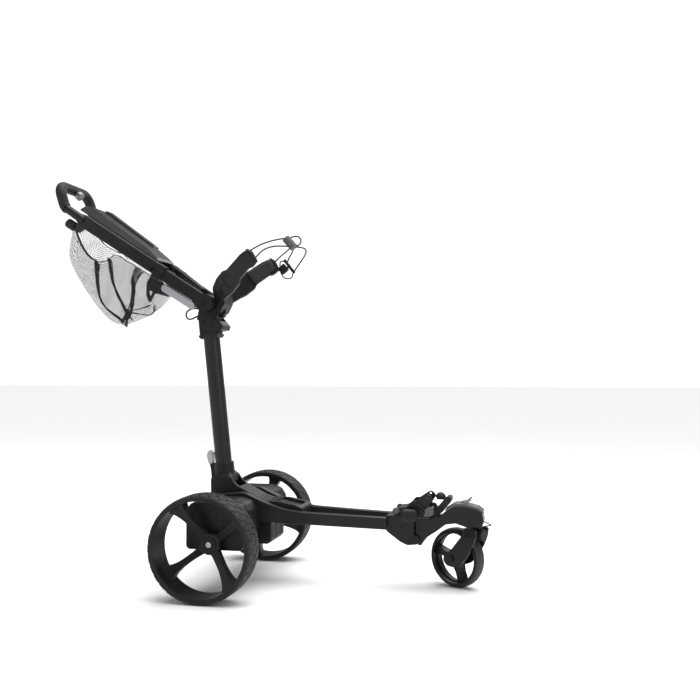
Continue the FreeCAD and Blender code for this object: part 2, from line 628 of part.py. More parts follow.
def cradle():
    """Lower bag rest on top of the knuckle."""
    keep("cradle_base", soft_prism([(458, 203), (478, 203), (500, 204), (514, 197), (514, 212), (500, 226),
                                    (470, 222)], [1, 1, 10, 1, 5, 8, 8], -34, 34, 2.0))
    SHAPES["cradle_base"] = SHAPES["cradle_base"].cut(SHAPES["knuckle"])
    arm = soft_prism([(497, 200), (497, 228), (511, 243), (523, 244), (544, 258), (553, 263), (562, 258),
                      (568, 249), (556, 230), (571, 214), (560, 203), (545, 207), (530, 198), (515, 203)],
                     [4, 8, 6, 6, 6, 5, 5, 4, 6, 8, 8, 6, 6, 6], 34, 42, 1.5)
    arm = arm.cut(across(553, 255.5, 3.2, 30, 50))
    rib = soft_prism([(513, 237), (522, 242), (555, 222), (552, 216)], 2.0, 42, 46, 0.8)
    lower = soft_prism([(509, 229), (516, 233), (548, 213), (545, 208)], 2.0, 42, 46, 0.8)
    arm = arm.fuse(rib).fuse(lower)
    pin = across(559, 216, 4.5, -50, 50)
    arm = arm.cut(pin)
    arm = arm.cut(SHAPES["knuckle"]).cut(SHAPES["cradle_base"])
    stalk = across(504, 211, 5.5, 42, 58)
    arm = arm.fuse(stalk)
    keep("cradle_arm_l", arm)
    keep("cradle_arm_r", mirrored(arm))
    keep("cradle_pin", pin)
    ring = across(559, 216, 12.0, 42, 50).cut(across(559, 216, 4.5, 40, 55))
    ring = ring.cut(arm)
    keep("cradle_ring_l", ring)
    keep("cradle_ring_r", mirrored(ring))
    pad = Part.makeBox(46, 28, 35, V(483, 46, 189))
    pad = pad.makeFillet(11.0, pad.Edges)
    pad = pad.cut(arm)
    keep("cradle_pad_l", pad)
    keep("cradle_pad_r", mirrored(pad))
    cap = spun([(0.0, 0.0), (9.5, 0.0), (9.5, 3.0), (6.0, 5.5), (0.0, 6.0)], 466, 214)
    cap.translate(V(0, 34.0, 0))
    keep("cradle_cap_l", cap)
    keep("cradle_cap_r", mirrored(cap))


# ------------------------------------------------------------------ mast
def mast():
    """Folding mast: collars, tube, release lever and the hinge block on top."""
    pin_x, pin_h = mast_frame(MAST_PIN_X, MAST_PIN_Z)
    half = COLLAR_HALF_W
    collar = rod((0, 0, pin_h), AXIS_Z, SLEEVE_R, 5 - pin_h)
    rim = [e for e in collar.Edges if e.BoundBox.ZMin > 4.9]
    collar = collar.makeFillet(2.5, rim)
    rear = prism([(-30, pin_h), (-30, 3), (-8, 3), (-8, pin_h)], [0, 3, 0, 0], -16, 16)
    foot = across(pin_x, pin_h, 26.0, -half, half)
    collar = collar.fuse(rear).fuse(foot).cut(across(pin_x, pin_h, MAST_PIN_R + BORE_GAP, -60, 60))
    bore = rod((0, 0, -20), AXIS_Z, MAST_R, 60)
    collar = collar.cut(bore)
    keep("mast_collar", lean(collar))
    tube = rod((0, 0, -20), AXIS_Z, MAST_R, MAST_LEN).cut(
        rod((0, 0, -30), AXIS_Z, MAST_R - MAST_WALL, MAST_LEN + 20))
    keep("mast_tube", lean(tube))
    screws = []
    guide = prism([(-36.5, -42), (-36.5, -4), (-30, -4), (-30, -42)], [3, 2, 0, 0], -13.6, 13.6)
    ear = prism([(-37.5, -8), (-37.5, 4), (-30, 4), (-30, -8)], [2, 3, 0, 0], 10.6, 13.6)
    guide = guide.fuse(ear).fuse(mirrored(ear)).fuse(across(-34.3, 0, 2.0, -13, 13))
    keep("lever_guide", lean(guide))
    top = MAST_LEN - 20.0
    head = soft_prism([(-27, top - 6), (-27, top + 55), (27, top + 55), (27, top - 6)], [2, 4, 4, 2],
                      -26, 26, 5.0)
    ring = prism([(-28.2, top - 2), (-28.2, top + 5), (28.2, top + 5), (28.2, top - 2)], 1.5, -27.2, 27.2)
    head = head.fuse(ring)
    inside = rod((0, 0, -20), AXIS_Z, MAST_R, MAST_LEN)
    keep("head_collar", lean(head.cut(inside)))
    for h in (top + 14, top + 43):
        screws.append(screw((-7, -26, h), V(0, -1, 0), 3.6, 1.5))
        screws.append(screw((-7, 26, h), AXIS_Y, 3.6, 1.5))
    keep("mast_screws", lean(Part.makeCompound(screws)))
    neck = prism([(-121, 745), (-62, 745), (-52, 770), (-58, 800), (-110, 800)], [0, 0, 10, 6, 10],
                 -HINGE_CORE_W, HINGE_CORE_W)
    drum = across(HINGE_X, HINGE_Z, HINGE_R + 1, -HINGE_CORE_W, HINGE_CORE_W)
    blocky = neck.fuse(drum).cut(SHAPES["head_collar"])
    pin = across(HINGE_X, HINGE_Z, HINGE_PIN_R, -BEAM_Y_LOW - 12, BEAM_Y_LOW + 12)
    keep("hinge_block", blocky.cut(pin))
    keep("hinge_pin", pin)


def release_levers():
    """Silver mast release at the rear and the cam lever under the bag arms."""
    plate = soft_prism([(-37.5, 0), (-45, 12), (-47, 32), (-41, 45), (-33, 46), (-27.5, 38), (-27.5, 30),
                        (-30, 14), (-31.5, 0)], [3, 10, 12, 8, 8, 6, 4, 8, 2], -10, 10, 1.5)
    plate.translate(V(0, 0, -3.4))
    plate = plate.cut(across(-34.3, 0, 2.0 + BORE_GAP, -20, 20))
    plate = plate.cut(block(-32, -20, -20, 20, -10, 5.8))
    keep("release_lever", lean(plate))
    side = prism([(-74, 757), (-62, 755), (-53, 744), (-39, 728), (-42, 715.5), (-58, 713), (-72, 714)],
                 [4, 5, 30, 5, 4, 3, 6], 27.4, 31.5)
    web = prism([(-53, 744), (-39, 728), (-42, 715.5), (-54.5, 713.5), (-52.5, 738)], [3, 5, 4, 2, 3],
                -31.5, 31.5)
    cam = side.fuse(mirrored(side)).fuse(web)
    pin = across(-68, 748, 3.5, -33, 33)
    keep("cam_lever", cam.cut(across(-68, 748, 3.5 + BORE_GAP, -40, 40)))
    keep("cam_pin", pin)
    for host in ("hinge_block", "head_collar"):
        seat(host, "cam_pin")


def arm_place(shape, side):
    """Bag-arm coordinates (along, outward, up) to the cart's right or left."""
    out = shape.copy()
    out.rotate(ORIGIN, AXIS_Z, -ARM_SPREAD)
    out.rotate(ORIGIN, AXIS_Y, -ARM_RISE)
    out.translate(V(ARM_ROOT_X, -ARM_ROOT_Y, ARM_ROOT_Z))
    return out if side == "r" else mirrored(out)


def bag_arms():
    """Two spreading arms with padded inner faces, and the bridge they stand on."""
    bridge = prism([(-57.5, 760), (-57.5, 828), (-40, 838), (-26, 824), (-34, 790), (-46, 766)],
                   [2, 6, 12, 12, 10, 3], -34, 34)
    bridge = bridge.cut(across(HINGE_X, HINGE_Z, HINGE_R + 1 + MOVE_GAP, -60, 60))
    tie = prism([(-70, 778), (-40, 778), (-40, 812), (-58, 812)], 0, -24, 24)
    bridge = bridge.fuse(tie).cut(SHAPES["hinge_block"])
    for side in ("r", "l"):
        profile = [(-10, -26), (4, 10), (14, 22), (44, 31), (76, 32), (92, 25), (158, 24), (181, 20),
                   (189, 6), (186, -15), (181, -27), (163, -28), (152, -22), (106, -23), (92, -31),
                   (60, -33), (40, -30), (8, -28)]
        arm = soft_prism(profile, [3, 10, 20, 20, 8, 12, 20, 8, 8, 8, 6, 8, 10, 12, 8, 20, 20, 14],
                         -ARM_T / 2, ARM_T / 2, 2.5)
        recess = prism([(60, -22), (60, 18), (90, 18), (90, -22)], 6, -ARM_T / 2 - 1, -ARM_T / 2 + 2)
        arm = arm.cut(recess)
        window = prism([(30, -20), (30, 4), (54, 4), (54, -20)], 5, -ARM_T / 2 - 1, -ARM_T / 2 + 2)
        arm = arm.cut(window)
        pad = soft_prism([(98, -21), (98, 21), (177, 18), (183, 6), (178, -20)], [6, 8, 6, 6, 6],
                         ARM_T / 2, ARM_T / 2 + 8.0, 3.0)
        strip = prism([(182, -26), (187, -14), (190, 5), (183, 20), (186.5, 21), (193.5, 6), (190, -15),
                       (186, -28)], [1, 8, 8, 1, 1, 8, 8, 1], -ARM_T / 2 + 1.5, ARM_T / 2 - 1.5)
        keep("bag_arm_%s" % side, arm_place(arm, side))
        keep("arm_pad_%s" % side, arm_place(pad, side))
        keep("arm_edge_%s" % side, arm_place(strip.cut(arm), side))
        bridge = bridge.cut(SHAPES["bag_arm_%s" % side])
    clear = across(HINGE_X, HINGE_Z, HINGE_R + MOVE_GAP, HINGE_CORE_W, 90)
    for side in ("r", "l"):
        zone = clear if side == "l" else mirrored(clear)
        SHAPES["bag_arm_%s" % side] = SHAPES["bag_arm_%s" % side].cut(zone)
    keep("arm_bridge", bridge)
    tab = soft_prism([(-60, 752), (-52, 768), (-41, 775), (-38, 769), (-47, 752)],
                     [1, 6, 4, 4, 4], -9, 9, 1.0)
    tab = tab.cut(SHAPES["arm_bridge"]).cut(SHAPES["hinge_block"]).cut(SHAPES["head_collar"])
    keep("head_tab", tab)


def toggle_and_hook():
    """Cord toggle held between the arms, and the hook clip on the left arm."""
    axis = V(18, 0, -20)
    axis.normalize()
    body = rod((139, 0, 979), axis, 12.0, 40.0)
    body = body.makeFillet(2.5, [e for e in body.Edges if len(e.Vertexes) == 1])
    keep("cord_toggle", body)
    clip = block(-9, 16, -6, 6, -12, 12)
    clip = clip.makeFillet(2.0, clip.Edges)
    clip.rotate(ORIGIN, AXIS_Y, 50)
    clip.translate(V(96, 112, 906))
    clip = clip.cut(SHAPES["bag_arm_l"]).cut(SHAPES["arm_edge_l"]).cut(SHAPES["arm_pad_l"])
    keep("hook_clip", clip)
    run = V(32, 0, -40)
    run.normalize()
    bar = rod((99, 118, 932), run, 4.6, 51.0)
    link = rod((100, 112, 903), V(14, 5, 8), 3.2, 16.0)
    link = link.cut(SHAPES["hook_clip"])
    wire = pipe([(101, 118, 927), (87, 116, 930), (86, 113, 900), (100, 113, 874), (124, 116, 876),
                 (127, 118, 894)], 1.8, 0.45)[0]
    keep("hook_bar", bar.fuse(link).fuse(wire).cut(SHAPES["hook_clip"]).cut(SHAPES["bag_arm_l"]))


def bungees():
    """Elastic cords from the arm tips through the toggle to the hook bar."""
    r = BUNGEE_R
    cord("bungee_upper", [(67, -107, 929), (84, -84, 947), (104, -54, 962), (126, -24, 973),
                          (140, -4, 978)], r)
    cord("bungee_lower", [(83, -106, 908), (92, -90, 928), (106, -64, 944), (127, -34, 953),
                          (155, -8, 953)], r)
    cord("bungee_crown", [(150, 4, 979), (167, 5, 987), (184, 7, 978), (182, 6, 959), (164, 1, 951)], r)
    cord("bungee_left", [(153, 10, 955), (131, 32, 943), (100, 68, 935), (74, 101, 923)], r)
    cord("bungee_mid", [(160, 8, 948), (148, 36, 941), (128, 76, 935), (108, 115, 922)], r)
    cord("bungee_outer", [(163, 6, 954), (190, 28, 955), (184, 62, 943), (160, 94, 925), (131, 115, 897)], r)
    seat("cord_toggle", "bungee_upper", "bungee_lower", "bungee_crown", "bungee_left",
         "bungee_mid", "bungee_outer")
    seat("bag_arm_r", "bungee_upper", "bungee_lower")
    seat("bag_arm_l", "bungee_left")
    seat("arm_edge_r", "bungee_upper", "bungee_lower")
    seat("arm_edge_l", "bungee_left")
    seat("hook_bar", "bungee_mid", "bungee_outer")
    seat("hook_clip", "bungee_mid", "bungee_outer", "bungee_left")


# ------------------------------------------------------------------ handle
def beam(s0, y0, s1, y1, n0, n1, width, edge):
    """Flat beam between two reaches, tapering in plan."""
    h = width / 2
    low = [(-s0, y0 - h), (-s0, y0 + h), (-s1, y1 + h), (-s1, y1 - h)]
    shape = plan_prism(low, n0, n1)
    longs = []
    for e in shape.Edges:
        box = e.BoundBox
        if box.XLength > 0.5 * abs(s1 - s0) and box.ZLength < 1e-4:
            longs.append(e)
    return shape.makeFillet(edge, longs)


def handle_rails():
    """Upper rails, joint collars, lower beams with hinge eyes, port rings."""
    for side in ("r", "l"):
        flip = (lambda s: s) if side == "l" else mirrored
        upper = beam(JOINT_S + 8, BEAM_Y_JOINT, HANDLE_S, BEAM_Y_HIGH, -13, 24, BEAM_W, 4.5)
        lower = beam(10, BEAM_Y_LOW, JOINT_S - 8, BEAM_Y_JOINT - 0.5, -15, 20, BEAM_W - 1, 4.0)
        eye = across(0, 0, HINGE_R, HINGE_CORE_W + 1.6, BEAM_Y_LOW + 9.5)
        lower = lower.fuse(eye)
        pin = across(0, 0, HINGE_PIN_R + BORE_GAP, 0, 90)
        lower = lower.cut(pin)
        collar = beam(JOINT_S - 12, BEAM_Y_JOINT, JOINT_S + 12, BEAM_Y_JOINT + 0.8, -21, 25, BEAM_W + 5, 4.0)
        ring = across(-182, -1, 8.5, BEAM_Y_JOINT + 9, BEAM_Y_JOINT + 13.5)
        socket = across(-182, -1, 4.0, BEAM_Y_JOINT - 6, BEAM_Y_JOINT + 14)
        ring = ring.cut(socket).cut(upper)
        keep("handle_rail_%s" % side, flip(lift(upper.cut(collar).cut(socket))))
        keep("handle_beam_%s" % side, flip(lift(lower.cut(collar))))
        keep("joint_collar_%s" % side, flip(lift(collar)))
        keep("port_ring_%s" % side, flip(lift(ring)))
    spar_a = block(-JOINT_S - 10, -JOINT_S + 10, -60, 60, -10, 14)
    spar_a = spar_a.makeFillet(4.0, spar_a.Edges)
    spar_b = block(-466, -446, -80, 80, -8, 20)
    spar_b = spar_b.makeFillet(4.0, spar_b.Edges)
    keep("cross_spar", lift(spar_a))
    seat("cross_spar", "handle_rail_r", "handle_rail_l", "joint_collar_r", "joint_collar_l",
         "handle_beam_r", "handle_beam_l")
    keep("handle_bridge", lift(spar_b))
    seat("handle_bridge", "handle_rail_r", "handle_rail_l")


def handle_loop():
    """U-shaped loop in a soft grip, carrying the speed dial."""
    path = [(-440, -LOOP_Y + 4, 7), (-514, -LOOP_Y, 9), (-BAR_S, -LOOP_Y, BAR_N),
            (-BAR_S, LOOP_Y, BAR_N), (-514, LOOP_Y, 9), (-440, LOOP_Y - 4, 7)]
    core, wire, radii = pipe(path, LOOP_TUBE_R, 0.45, 34.0)
    sleeve = pipe(path, LOOP_TUBE_R + GRIP_WALL, 0.45, 34.0)[0]
    near_end = block(-508, -400, -120, 120, -60, 60)
    sleeve = sleeve.cut(near_end).cut(core)
    boss = rod((-BAR_S + 4, 0, BAR_N - 1), V(1, 0, -0.12), 8.0, 16.0)
    dial_axis = V(1, 0, -0.12)
    dial_axis.normalize()
    boss = boss.cut(core)
    tip = V(-BAR_S + 4, 0, BAR_N - 1) + dial_axis * 16.0
    peg = rod((tip.x, tip.y, tip.z), dial_axis, 3.5, 9.0)
    boss = boss.fuse(peg)
    start = tip + dial_axis * 0.5
    dial = rod((start.x, start.y, start.z), dial_axis, DIAL_R, DIAL_LEN)
    dial = dial.makeFillet(2.0, [e for e in dial.Edges if len(e.Vertexes) == 1])
    inner = rod((tip.x, tip.y, tip.z), dial_axis, 3.5 + BORE_GAP, 9.8)
    dial = dial.cut(inner)
    face = start + dial_axis * (DIAL_LEN - 0.8)
    dial = dial.cut(rod((face.x, face.y, face.z), dial_axis, 8.5, 2.0))
    keep("handle_loop", lift(core))
    keep("handle_grip", lift(sleeve.cut(boss)))
    keep("dial_boss", lift(boss))
    keep("speed_dial", lift(dial))
    for side in ("r", "l"):
        SHAPES["handle_rail_%s" % side] = SHAPES["handle_rail_%s" % side].cut(SHAPES["handle_loop"])
    seat("handle_bridge", "handle_loop", "dial_boss")


def hood_profile():
    """Long prism whose section gives the console its sloping sides."""
    ring = [V(-500, -58, 20), V(-500, 58, 20), V(-500, 58, 26), V(-500, 46, 47), V(-500, 40, 60),
            V(-500, -40, 60), V(-500, -46, 47), V(-500, -58, 26), V(-500, -58, 20)]
    return Part.Face(Part.makePolygon(ring)).extrude(V(340, 0, 0))


def console():
    """Control console between the rails: tray, cover, pads and two buttons."""
    tray = plan_prism([(-200, -60), (-200, 60), (-446, 68), (-446, -68)], 2, 24)
    keep("console_tray", lift(tray))
    seat("console_tray", "handle_rail_r", "handle_rail_l", "handle_bridge", "handle_loop")
    side = prism([(-484, 24), (-478, 44), (-462, 50), (-250, 40), (-196, 32), (-186, 24)],
                 [2, 8, 14, 200, 10, 3], -58, 58)
    cover = side.common(hood_profile())
    ridge = prism([(-455, 47), (-455, 56), (-260, 45), (-260, 37)], [1, 8, 8, 1], 24, 58)
    cover = cover.fuse(ridge)
    seam = block(-470, -200, -24.8, -23.6, 36, 60)
    seam = seam.common(prism([(-470, 46), (-470, 60), (-230, 45), (-230, 36)], 0, -40, 40))
    cover = cover.cut(seam)
    slot_a = prism([(-474, 44), (-474, 54), (-424, 52), (-424, 42)], 2, -38, -26)
    slot_b = prism([(-474, 47), (-474, 60), (-424, 58), (-424, 45)], 2, 30, 42)
    button_a = slot_a.common(cover)
    button_b = slot_b.common(cover)
    keep("console_cover", lift(cover.cut(slot_a).cut(slot_b)))
    keep("console_button_r", lift(button_a))
    keep("console_button_l", lift(button_b))
    for name in ("console_cover", "console_button_r", "console_button_l"):
        SHAPES[name] = SHAPES[name].cut(SHAPES["handle_loop"]).cut(SHAPES["handle_bridge"])
    pad = soft_prism([(-184, 22), (-184, 30), (-130, 26), (-60, 20), (-60, 12), (-150, 14)],
                     [2, 4, 30, 3, 2, 20], 20, 54, 1.5)
    pad = lift(pad)
    for name in ("cross_spar", "joint_collar_l", "handle_beam_l", "console_cover", "console_tray"):
        pad = pad.cut(SHAPES[name])
    keep("stowage_pad", pad)


def handle_fittings():
    """Accessory knobs, lock lever, buckle plate and the net's wire."""
    y = BEAM_Y_HIGH - 1
    back = V(-1, 0, 0)
    bracket = soft_prism([(-KNOB_S + 1, -4), (-KNOB_S + 1, KNOB_N - 8), (-438, KNOB_N - 8), (-430, -15),
                          (-430, -4)], [2, 6, 8, 3, 1], y - 7, y + 7, 1.5)
    stub = rod((-KNOB_S + 1, y, KNOB_N), back, KNOB_STUB_R, 12.0)
    bracket = mirrored(lift(bracket.fuse(stub)))
    for name in ("handle_rail_r", "handle_loop", "handle_bridge"):
        bracket = bracket.cut(SHAPES[name])
    keep("knob_bracket", bracket)
    knob = rod((-KNOB_S, y, KNOB_N), back, KNOB_R, KNOB_LEN)
    knob = knob.makeFillet(5.0, [e for e in knob.Edges if len(e.Vertexes) == 1])
    knob = knob.cut(rod((-KNOB_S + 1, y, KNOB_N), back, KNOB_STUB_R + BORE_GAP, 13.0))
    knob = knob.cut(rod((-KNOB_S - 13, y, KNOB_N), back, SOCKET_R, 20.0))
    groove = rod((-KNOB_S - 16, y, KNOB_N), back, KNOB_R + 1, 1.6)
    groove = groove.cut(rod((-KNOB_S - 15, y, KNOB_N), back, KNOB_R - 0.8, 4.0))
    keep("accessory_knob_r", mirrored(lift(knob.cut(groove))))
    s = LEVER_PIVOT_S
    n = LEVER_PIVOT_N
    lever = soft_prism([(-s + 10, n + 10.2), (-s + 10, n - 10), (-s - 107, n - 12.5), (-s - 107, n + 10.5)],
                       [9.8, 9.8, 11.2, 11.2], -68, -50, 4.0)
    lever = lever.cut(across(-s, n, LEVER_PIN_R + BORE_GAP, -64.6, -40))
    keep("lock_lever", lift(lever))
    pivot = across(-s, n, LEVER_PIN_R, -64, -46)
    lug = prism([(-s - 11, -14), (-s - 11, n + 4), (-s, n - 8), (-s + 10, n + 3), (-s + 10, -14)],
                [0, 4, 8, 4, 0], -49, -46)
    keep("lever_pivot", lift(pivot.fuse(lug)))
    seat("lever_pivot", "handle_beam_r")
    plate = soft_prism([(-188, -12), (-190, -46), (-170, -80), (-148, -94), (-150, -60), (-106, -46),
                        (-112, -30), (-140, -22)], [1, 8, 8, 4, 8, 6, 4, 6], -46, -40, 1.2)
    plate = plate.cut(prism([(-172, -62), (-156, -80), (-158, -60)], 3, -50, -30))
    plate = lift(plate)
    hang = lift(block(-186, -150, -56, -40, -22, -10))
    plate = plate.fuse(hang)
    for name in ("handle_rail_r", "joint_collar_r", "handle_beam_r", "cross_spar"):
        plate = plate.cut(SHAPES[name])
    keep("buckle_plate", plate)


NET_HALF_W = 58.0
NET_FRONT_HALF_W = 36.0
NET_WALL = 2.0
NET_SIDE = [(-486, -27), (-466, -100), (-444, -128), (-358, -172), (-288, -201), (-220, -211),
            (-181, -174), (-150, -133), (-130, -80), (-128, -48), (-200, -27)]


def net_plan(inset):
    """The net's plan outline, narrowing towards the hinge, as a tall prism."""
    wide = NET_HALF_W - inset
    slim = NET_FRONT_HALF_W - inset
    half = [(-500, wide), (-250, wide), (-200, slim), (-100, slim)]
    ring = half + [(x, -y) for x, y in reversed(half)]
    return plan_prism(ring, -250, 0)


def net_bag():
    """Hanging net pocket as a thin closed shell with its mouth open."""
    corner = [4, 30, 30, 60, 60, 20, 30, 30, 20, 10, 10]
    outer = prism(NET_SIDE, corner, -NET_HALF_W, NET_HALF_W).common(net_plan(0.0))
    mid_x = sum(p[0] for p in NET_SIDE) / len(NET_SIDE)
    hollow = []
    for x, z in NET_SIDE:
        inward = NET_WALL * 1.4 if x < mid_x else -NET_WALL * 1.4
        hollow.append((x + inward, z + (NET_WALL * 1.4 if z < -60 else 20.0)))
    inner = prism(hollow, corner, -NET_HALF_W, NET_HALF_W).common(net_plan(NET_WALL))
    shell = outer.cut(inner)
    scoop = prism([(-470, -10), (-459, -38), (-418, -72), (-366, -77), (-336, -54), (-318, -10)],
                  [0, 12, 30, 26, 14, 0], -80, -36)
    far_scoop = prism([(-470, -10), (-440, -34), (-380, -38), (-320, -10)], [0, 20, 20, 0], 36, 80)
    keep("net_bag", lift(shell.cut(scoop).cut(far_scoop)))


def cables():
    """Loose control cable looping under the handle hinge."""
    cord("hinge_cable", [(-104, -15, 776), (-131, -22, 781), (-151, -31, 771), (-151, -35, 752),
                         (-137, -30, 743), (-106, -19, 765)], CABLE_R)
    seat("hinge_block", "hinge_cable")


def gather():
    """Join mouldings made in one piece and put matched pairs in one node."""
    weld("rim_l", ("rim_l", "hub_cap_l"))
    weld("rim_r", ("rim_r", "hub_cap_r"))
    weld("base_nose", ("base_nose", "deck"))
    weld("knuckle", ("knuckle", "cradle_base"))
    weld("front_arm", ("front_arm", "strap_eye"))
    weld("fork", ("fork", "knob_mount", "fork_guard"))
    weld("strap_knob", ("strap_knob", "strap_bar"))
    weld("mast_collar", ("mast_collar", "lever_guide"))
    weld("hinge_block", ("hinge_block", "arm_bridge", "head_tab"))
    weld("hook_clip", ("hook_clip", "hook_bar"))
    weld("handle_loop", ("handle_loop", "dial_boss"))
    weld("console_tray", ("console_tray", "handle_bridge", "cross_spar"))
    weld("handle_rail_r", ("handle_rail_r", "port_ring_r", "knob_bracket"))
    weld("handle_rail_l", ("handle_rail_l", "port_ring_l"))
    weld("handle_beam_r", ("handle_beam_r", "joint_collar_r", "lever_pivot"))
    weld("handle_beam_l", ("handle_beam_l", "joint_collar_l"))
    for side in ("r", "l"):
        weld("bag_arm_%s" % side, ("bag_arm_%s" % side, "arm_edge_%s" % side))
    group("side_rails", ("rail_r", "rail_l"))
    group("drive_cases", ("drive_case_r", "drive_case_l"))
    group("drive_covers", ("drive_cover_r", "drive_cover_l"))
    group("chassis_pins", ("axle_r", "axle_l", "mast_pin", "knuckle_pin"))
    group("chassis_screws", ("drive_screws", "knuckle_rivets"))
    group("cradle_arms", ("cradle_arm_r", "cradle_arm_l"))
    group("cradle_pads", ("cradle_pad_r", "cradle_pad_l"))
    group("cradle_fittings", ("cradle_pin", "cradle_ring_r", "cradle_ring_l", "cradle_cap_r", "cradle_cap_l"))
    group("mast_pins", ("hinge_pin", "cam_pin"))
    group("bag_arms", ("bag_arm_r", "bag_arm_l"))
    group("arm_pads", ("arm_pad_r", "arm_pad_l"))
    group("handle_rails", ("handle_rail_r", "handle_rail_l"))
    group("handle_beams", ("handle_beam_r", "handle_beam_l"))
    group("console_buttons", ("console_button_r", "console_button_l"))


def build():
    """Make every piece in turn, then sort them into nodes."""
    rear_wheel("l", LEFT_SPOKE_PHASE)
    rear_wheel("r", RIGHT_SPOKE_PHASE)
    front_wheel()
    chassis()
    knuckle()
    front_arm()
    fork()
    turn_caster()
    cradle()
    mast()
    release_levers()
    bag_arms()
    toggle_and_hook()
    bungees()
    handle_rails()
    handle_loop()
    console()
    handle_fittings()
    net_bag()
    cables()
    gather()


def export():
    """Centre the cart on its bounding box and write one file per piece."""
    whole = FreeCAD.BoundBox()
    for name, shape in SHAPES.items():
        if name not in CORDS and name != "cord_toggle":
            whole.add(shape.BoundBox)
    shift = V(-(whole.XMin + whole.XMax) / 2, -(whole.YMin + whole.YMax) / 2, -whole.ZMin)
    os.makedirs("parts", exist_ok=True)
    for name, shape in SHAPES.items():
        moved = shape.copy()
        moved.translate(shift)
        solids = len(moved.Solids)
        if not moved.isValid() or solids == 0:
            print("BAD", name, moved.isValid(), solids)
        if solids > 1:
            print("many", name, solids)
        moved.exportStep("parts/%s.step" % name)
    print("origin shift", [round(c, 3) for c in shift])
    print("size", [round(c, 1) for c in (whole.XLength, whole.YLength, whole.ZLength)])
    print("pieces", len(SHAPES))


build()
export()
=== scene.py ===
"""Looks of the electric golf push cart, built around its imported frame.

Everything is in metres in the frame's own axes: X forward, Y to the cart's left, Z up.
Each sub-assembly is a class whose fields are its sizes; each finish is a frozen dataclass.
"""

import json
import logging
import math
from dataclasses import dataclass
from enum import Enum
from typing import Optional, Sequence, Union

import bpy
import numpy as np
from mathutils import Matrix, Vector


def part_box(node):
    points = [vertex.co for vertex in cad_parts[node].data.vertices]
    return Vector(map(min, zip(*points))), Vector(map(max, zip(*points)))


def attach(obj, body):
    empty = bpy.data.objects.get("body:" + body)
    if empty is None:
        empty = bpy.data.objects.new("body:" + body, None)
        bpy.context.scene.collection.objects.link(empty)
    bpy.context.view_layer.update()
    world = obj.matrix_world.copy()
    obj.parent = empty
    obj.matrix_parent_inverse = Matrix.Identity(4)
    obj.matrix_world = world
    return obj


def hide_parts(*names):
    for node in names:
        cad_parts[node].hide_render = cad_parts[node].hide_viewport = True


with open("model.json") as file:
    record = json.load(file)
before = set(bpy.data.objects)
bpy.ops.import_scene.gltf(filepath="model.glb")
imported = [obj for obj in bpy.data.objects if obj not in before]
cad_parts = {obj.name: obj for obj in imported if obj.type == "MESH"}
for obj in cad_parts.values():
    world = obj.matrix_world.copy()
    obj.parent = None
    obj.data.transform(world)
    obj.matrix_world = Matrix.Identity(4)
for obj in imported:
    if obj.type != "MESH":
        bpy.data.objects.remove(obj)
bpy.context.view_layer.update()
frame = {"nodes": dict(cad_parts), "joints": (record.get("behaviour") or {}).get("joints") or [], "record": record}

LOG = logging.getLogger("golf_cart")
JOINTS = {joint["name"]: joint for joint in frame["joints"]}


# ------------------------------------------------------------------ shader arithmetic
class Term:
    """A shader socket, or a plain number, that takes part in Python arithmetic."""

    def __init__(self, tree: bpy.types.NodeTree, socket: bpy.types.NodeSocket) -> None:
        self.tree = tree
        self.socket = socket

    def _math(self, operation: str, *operands: "Operand", clamp: bool = False) -> "Term":
        """Add a Math node.

        Args:
            operation: the Math node's operation.
            operands: its inputs in order, terms or numbers.
            clamp: whether the result is held between 0 and 1.

        Returns:
            The node's result as a term.
        """
        node = self.tree.nodes.new("ShaderNodeMath")
        node.operation = operation
        node.use_clamp = clamp
        for index, operand in enumerate(operands):
            plug(self.tree, node.inputs[index], operand)
        return Term(self.tree, node.outputs[0])

    def __add__(self, other: "Operand") -> "Term":
        """Sum."""
        return self._math("ADD", self, other)

    __radd__ = __add__

    def __mul__(self, other: "Operand") -> "Term":
        """Product."""
        return self._math("MULTIPLY", self, other)

    __rmul__ = __mul__

    def __sub__(self, other: "Operand") -> "Term":
        """Difference."""
        return self._math("SUBTRACT", self, other)

    def __rsub__(self, other: "Operand") -> "Term":
        """Difference with the number first."""
        return self._math("SUBTRACT", other, self)

    def __truediv__(self, other: "Operand") -> "Term":
        """Quotient."""
        return self._math("DIVIDE", self, other)

    def __gt__(self, other: "Operand") -> "Term":
        """1 where this is greater, else 0."""
        return self._math("GREATER_THAN", self, other)

    def sine(self) -> "Term":
        """Sine of the term in radians."""
        return self._math("SINE", self)

    def size(self) -> "Term":
        """Absolute value."""
        return self._math("ABSOLUTE", self)

    def most(self, other: "Operand") -> "Term":
        """The larger of two."""
        return self._math("MAXIMUM", self, other)

    def fraction(self) -> "Term":
        """The part after the point."""
        return self._math("FRACT", self)

    def ramp(self, low: float, high: float) -> "Term":
        """0 below low, 1 above high and straight between."""
        return self._math("MULTIPLY_ADD", self, 1.0 / (high - low), -low / (high - low), clamp=True)


Operand = Union[Term, float]


def plug(tree: bpy.types.NodeTree, target: bpy.types.NodeSocket, value: object) -> None:
    """Link a term to an input socket, or set the socket's own value."""
    if isinstance(value, Term):
        tree.links.new(value.socket, target)
    else:
        target.default_value = value


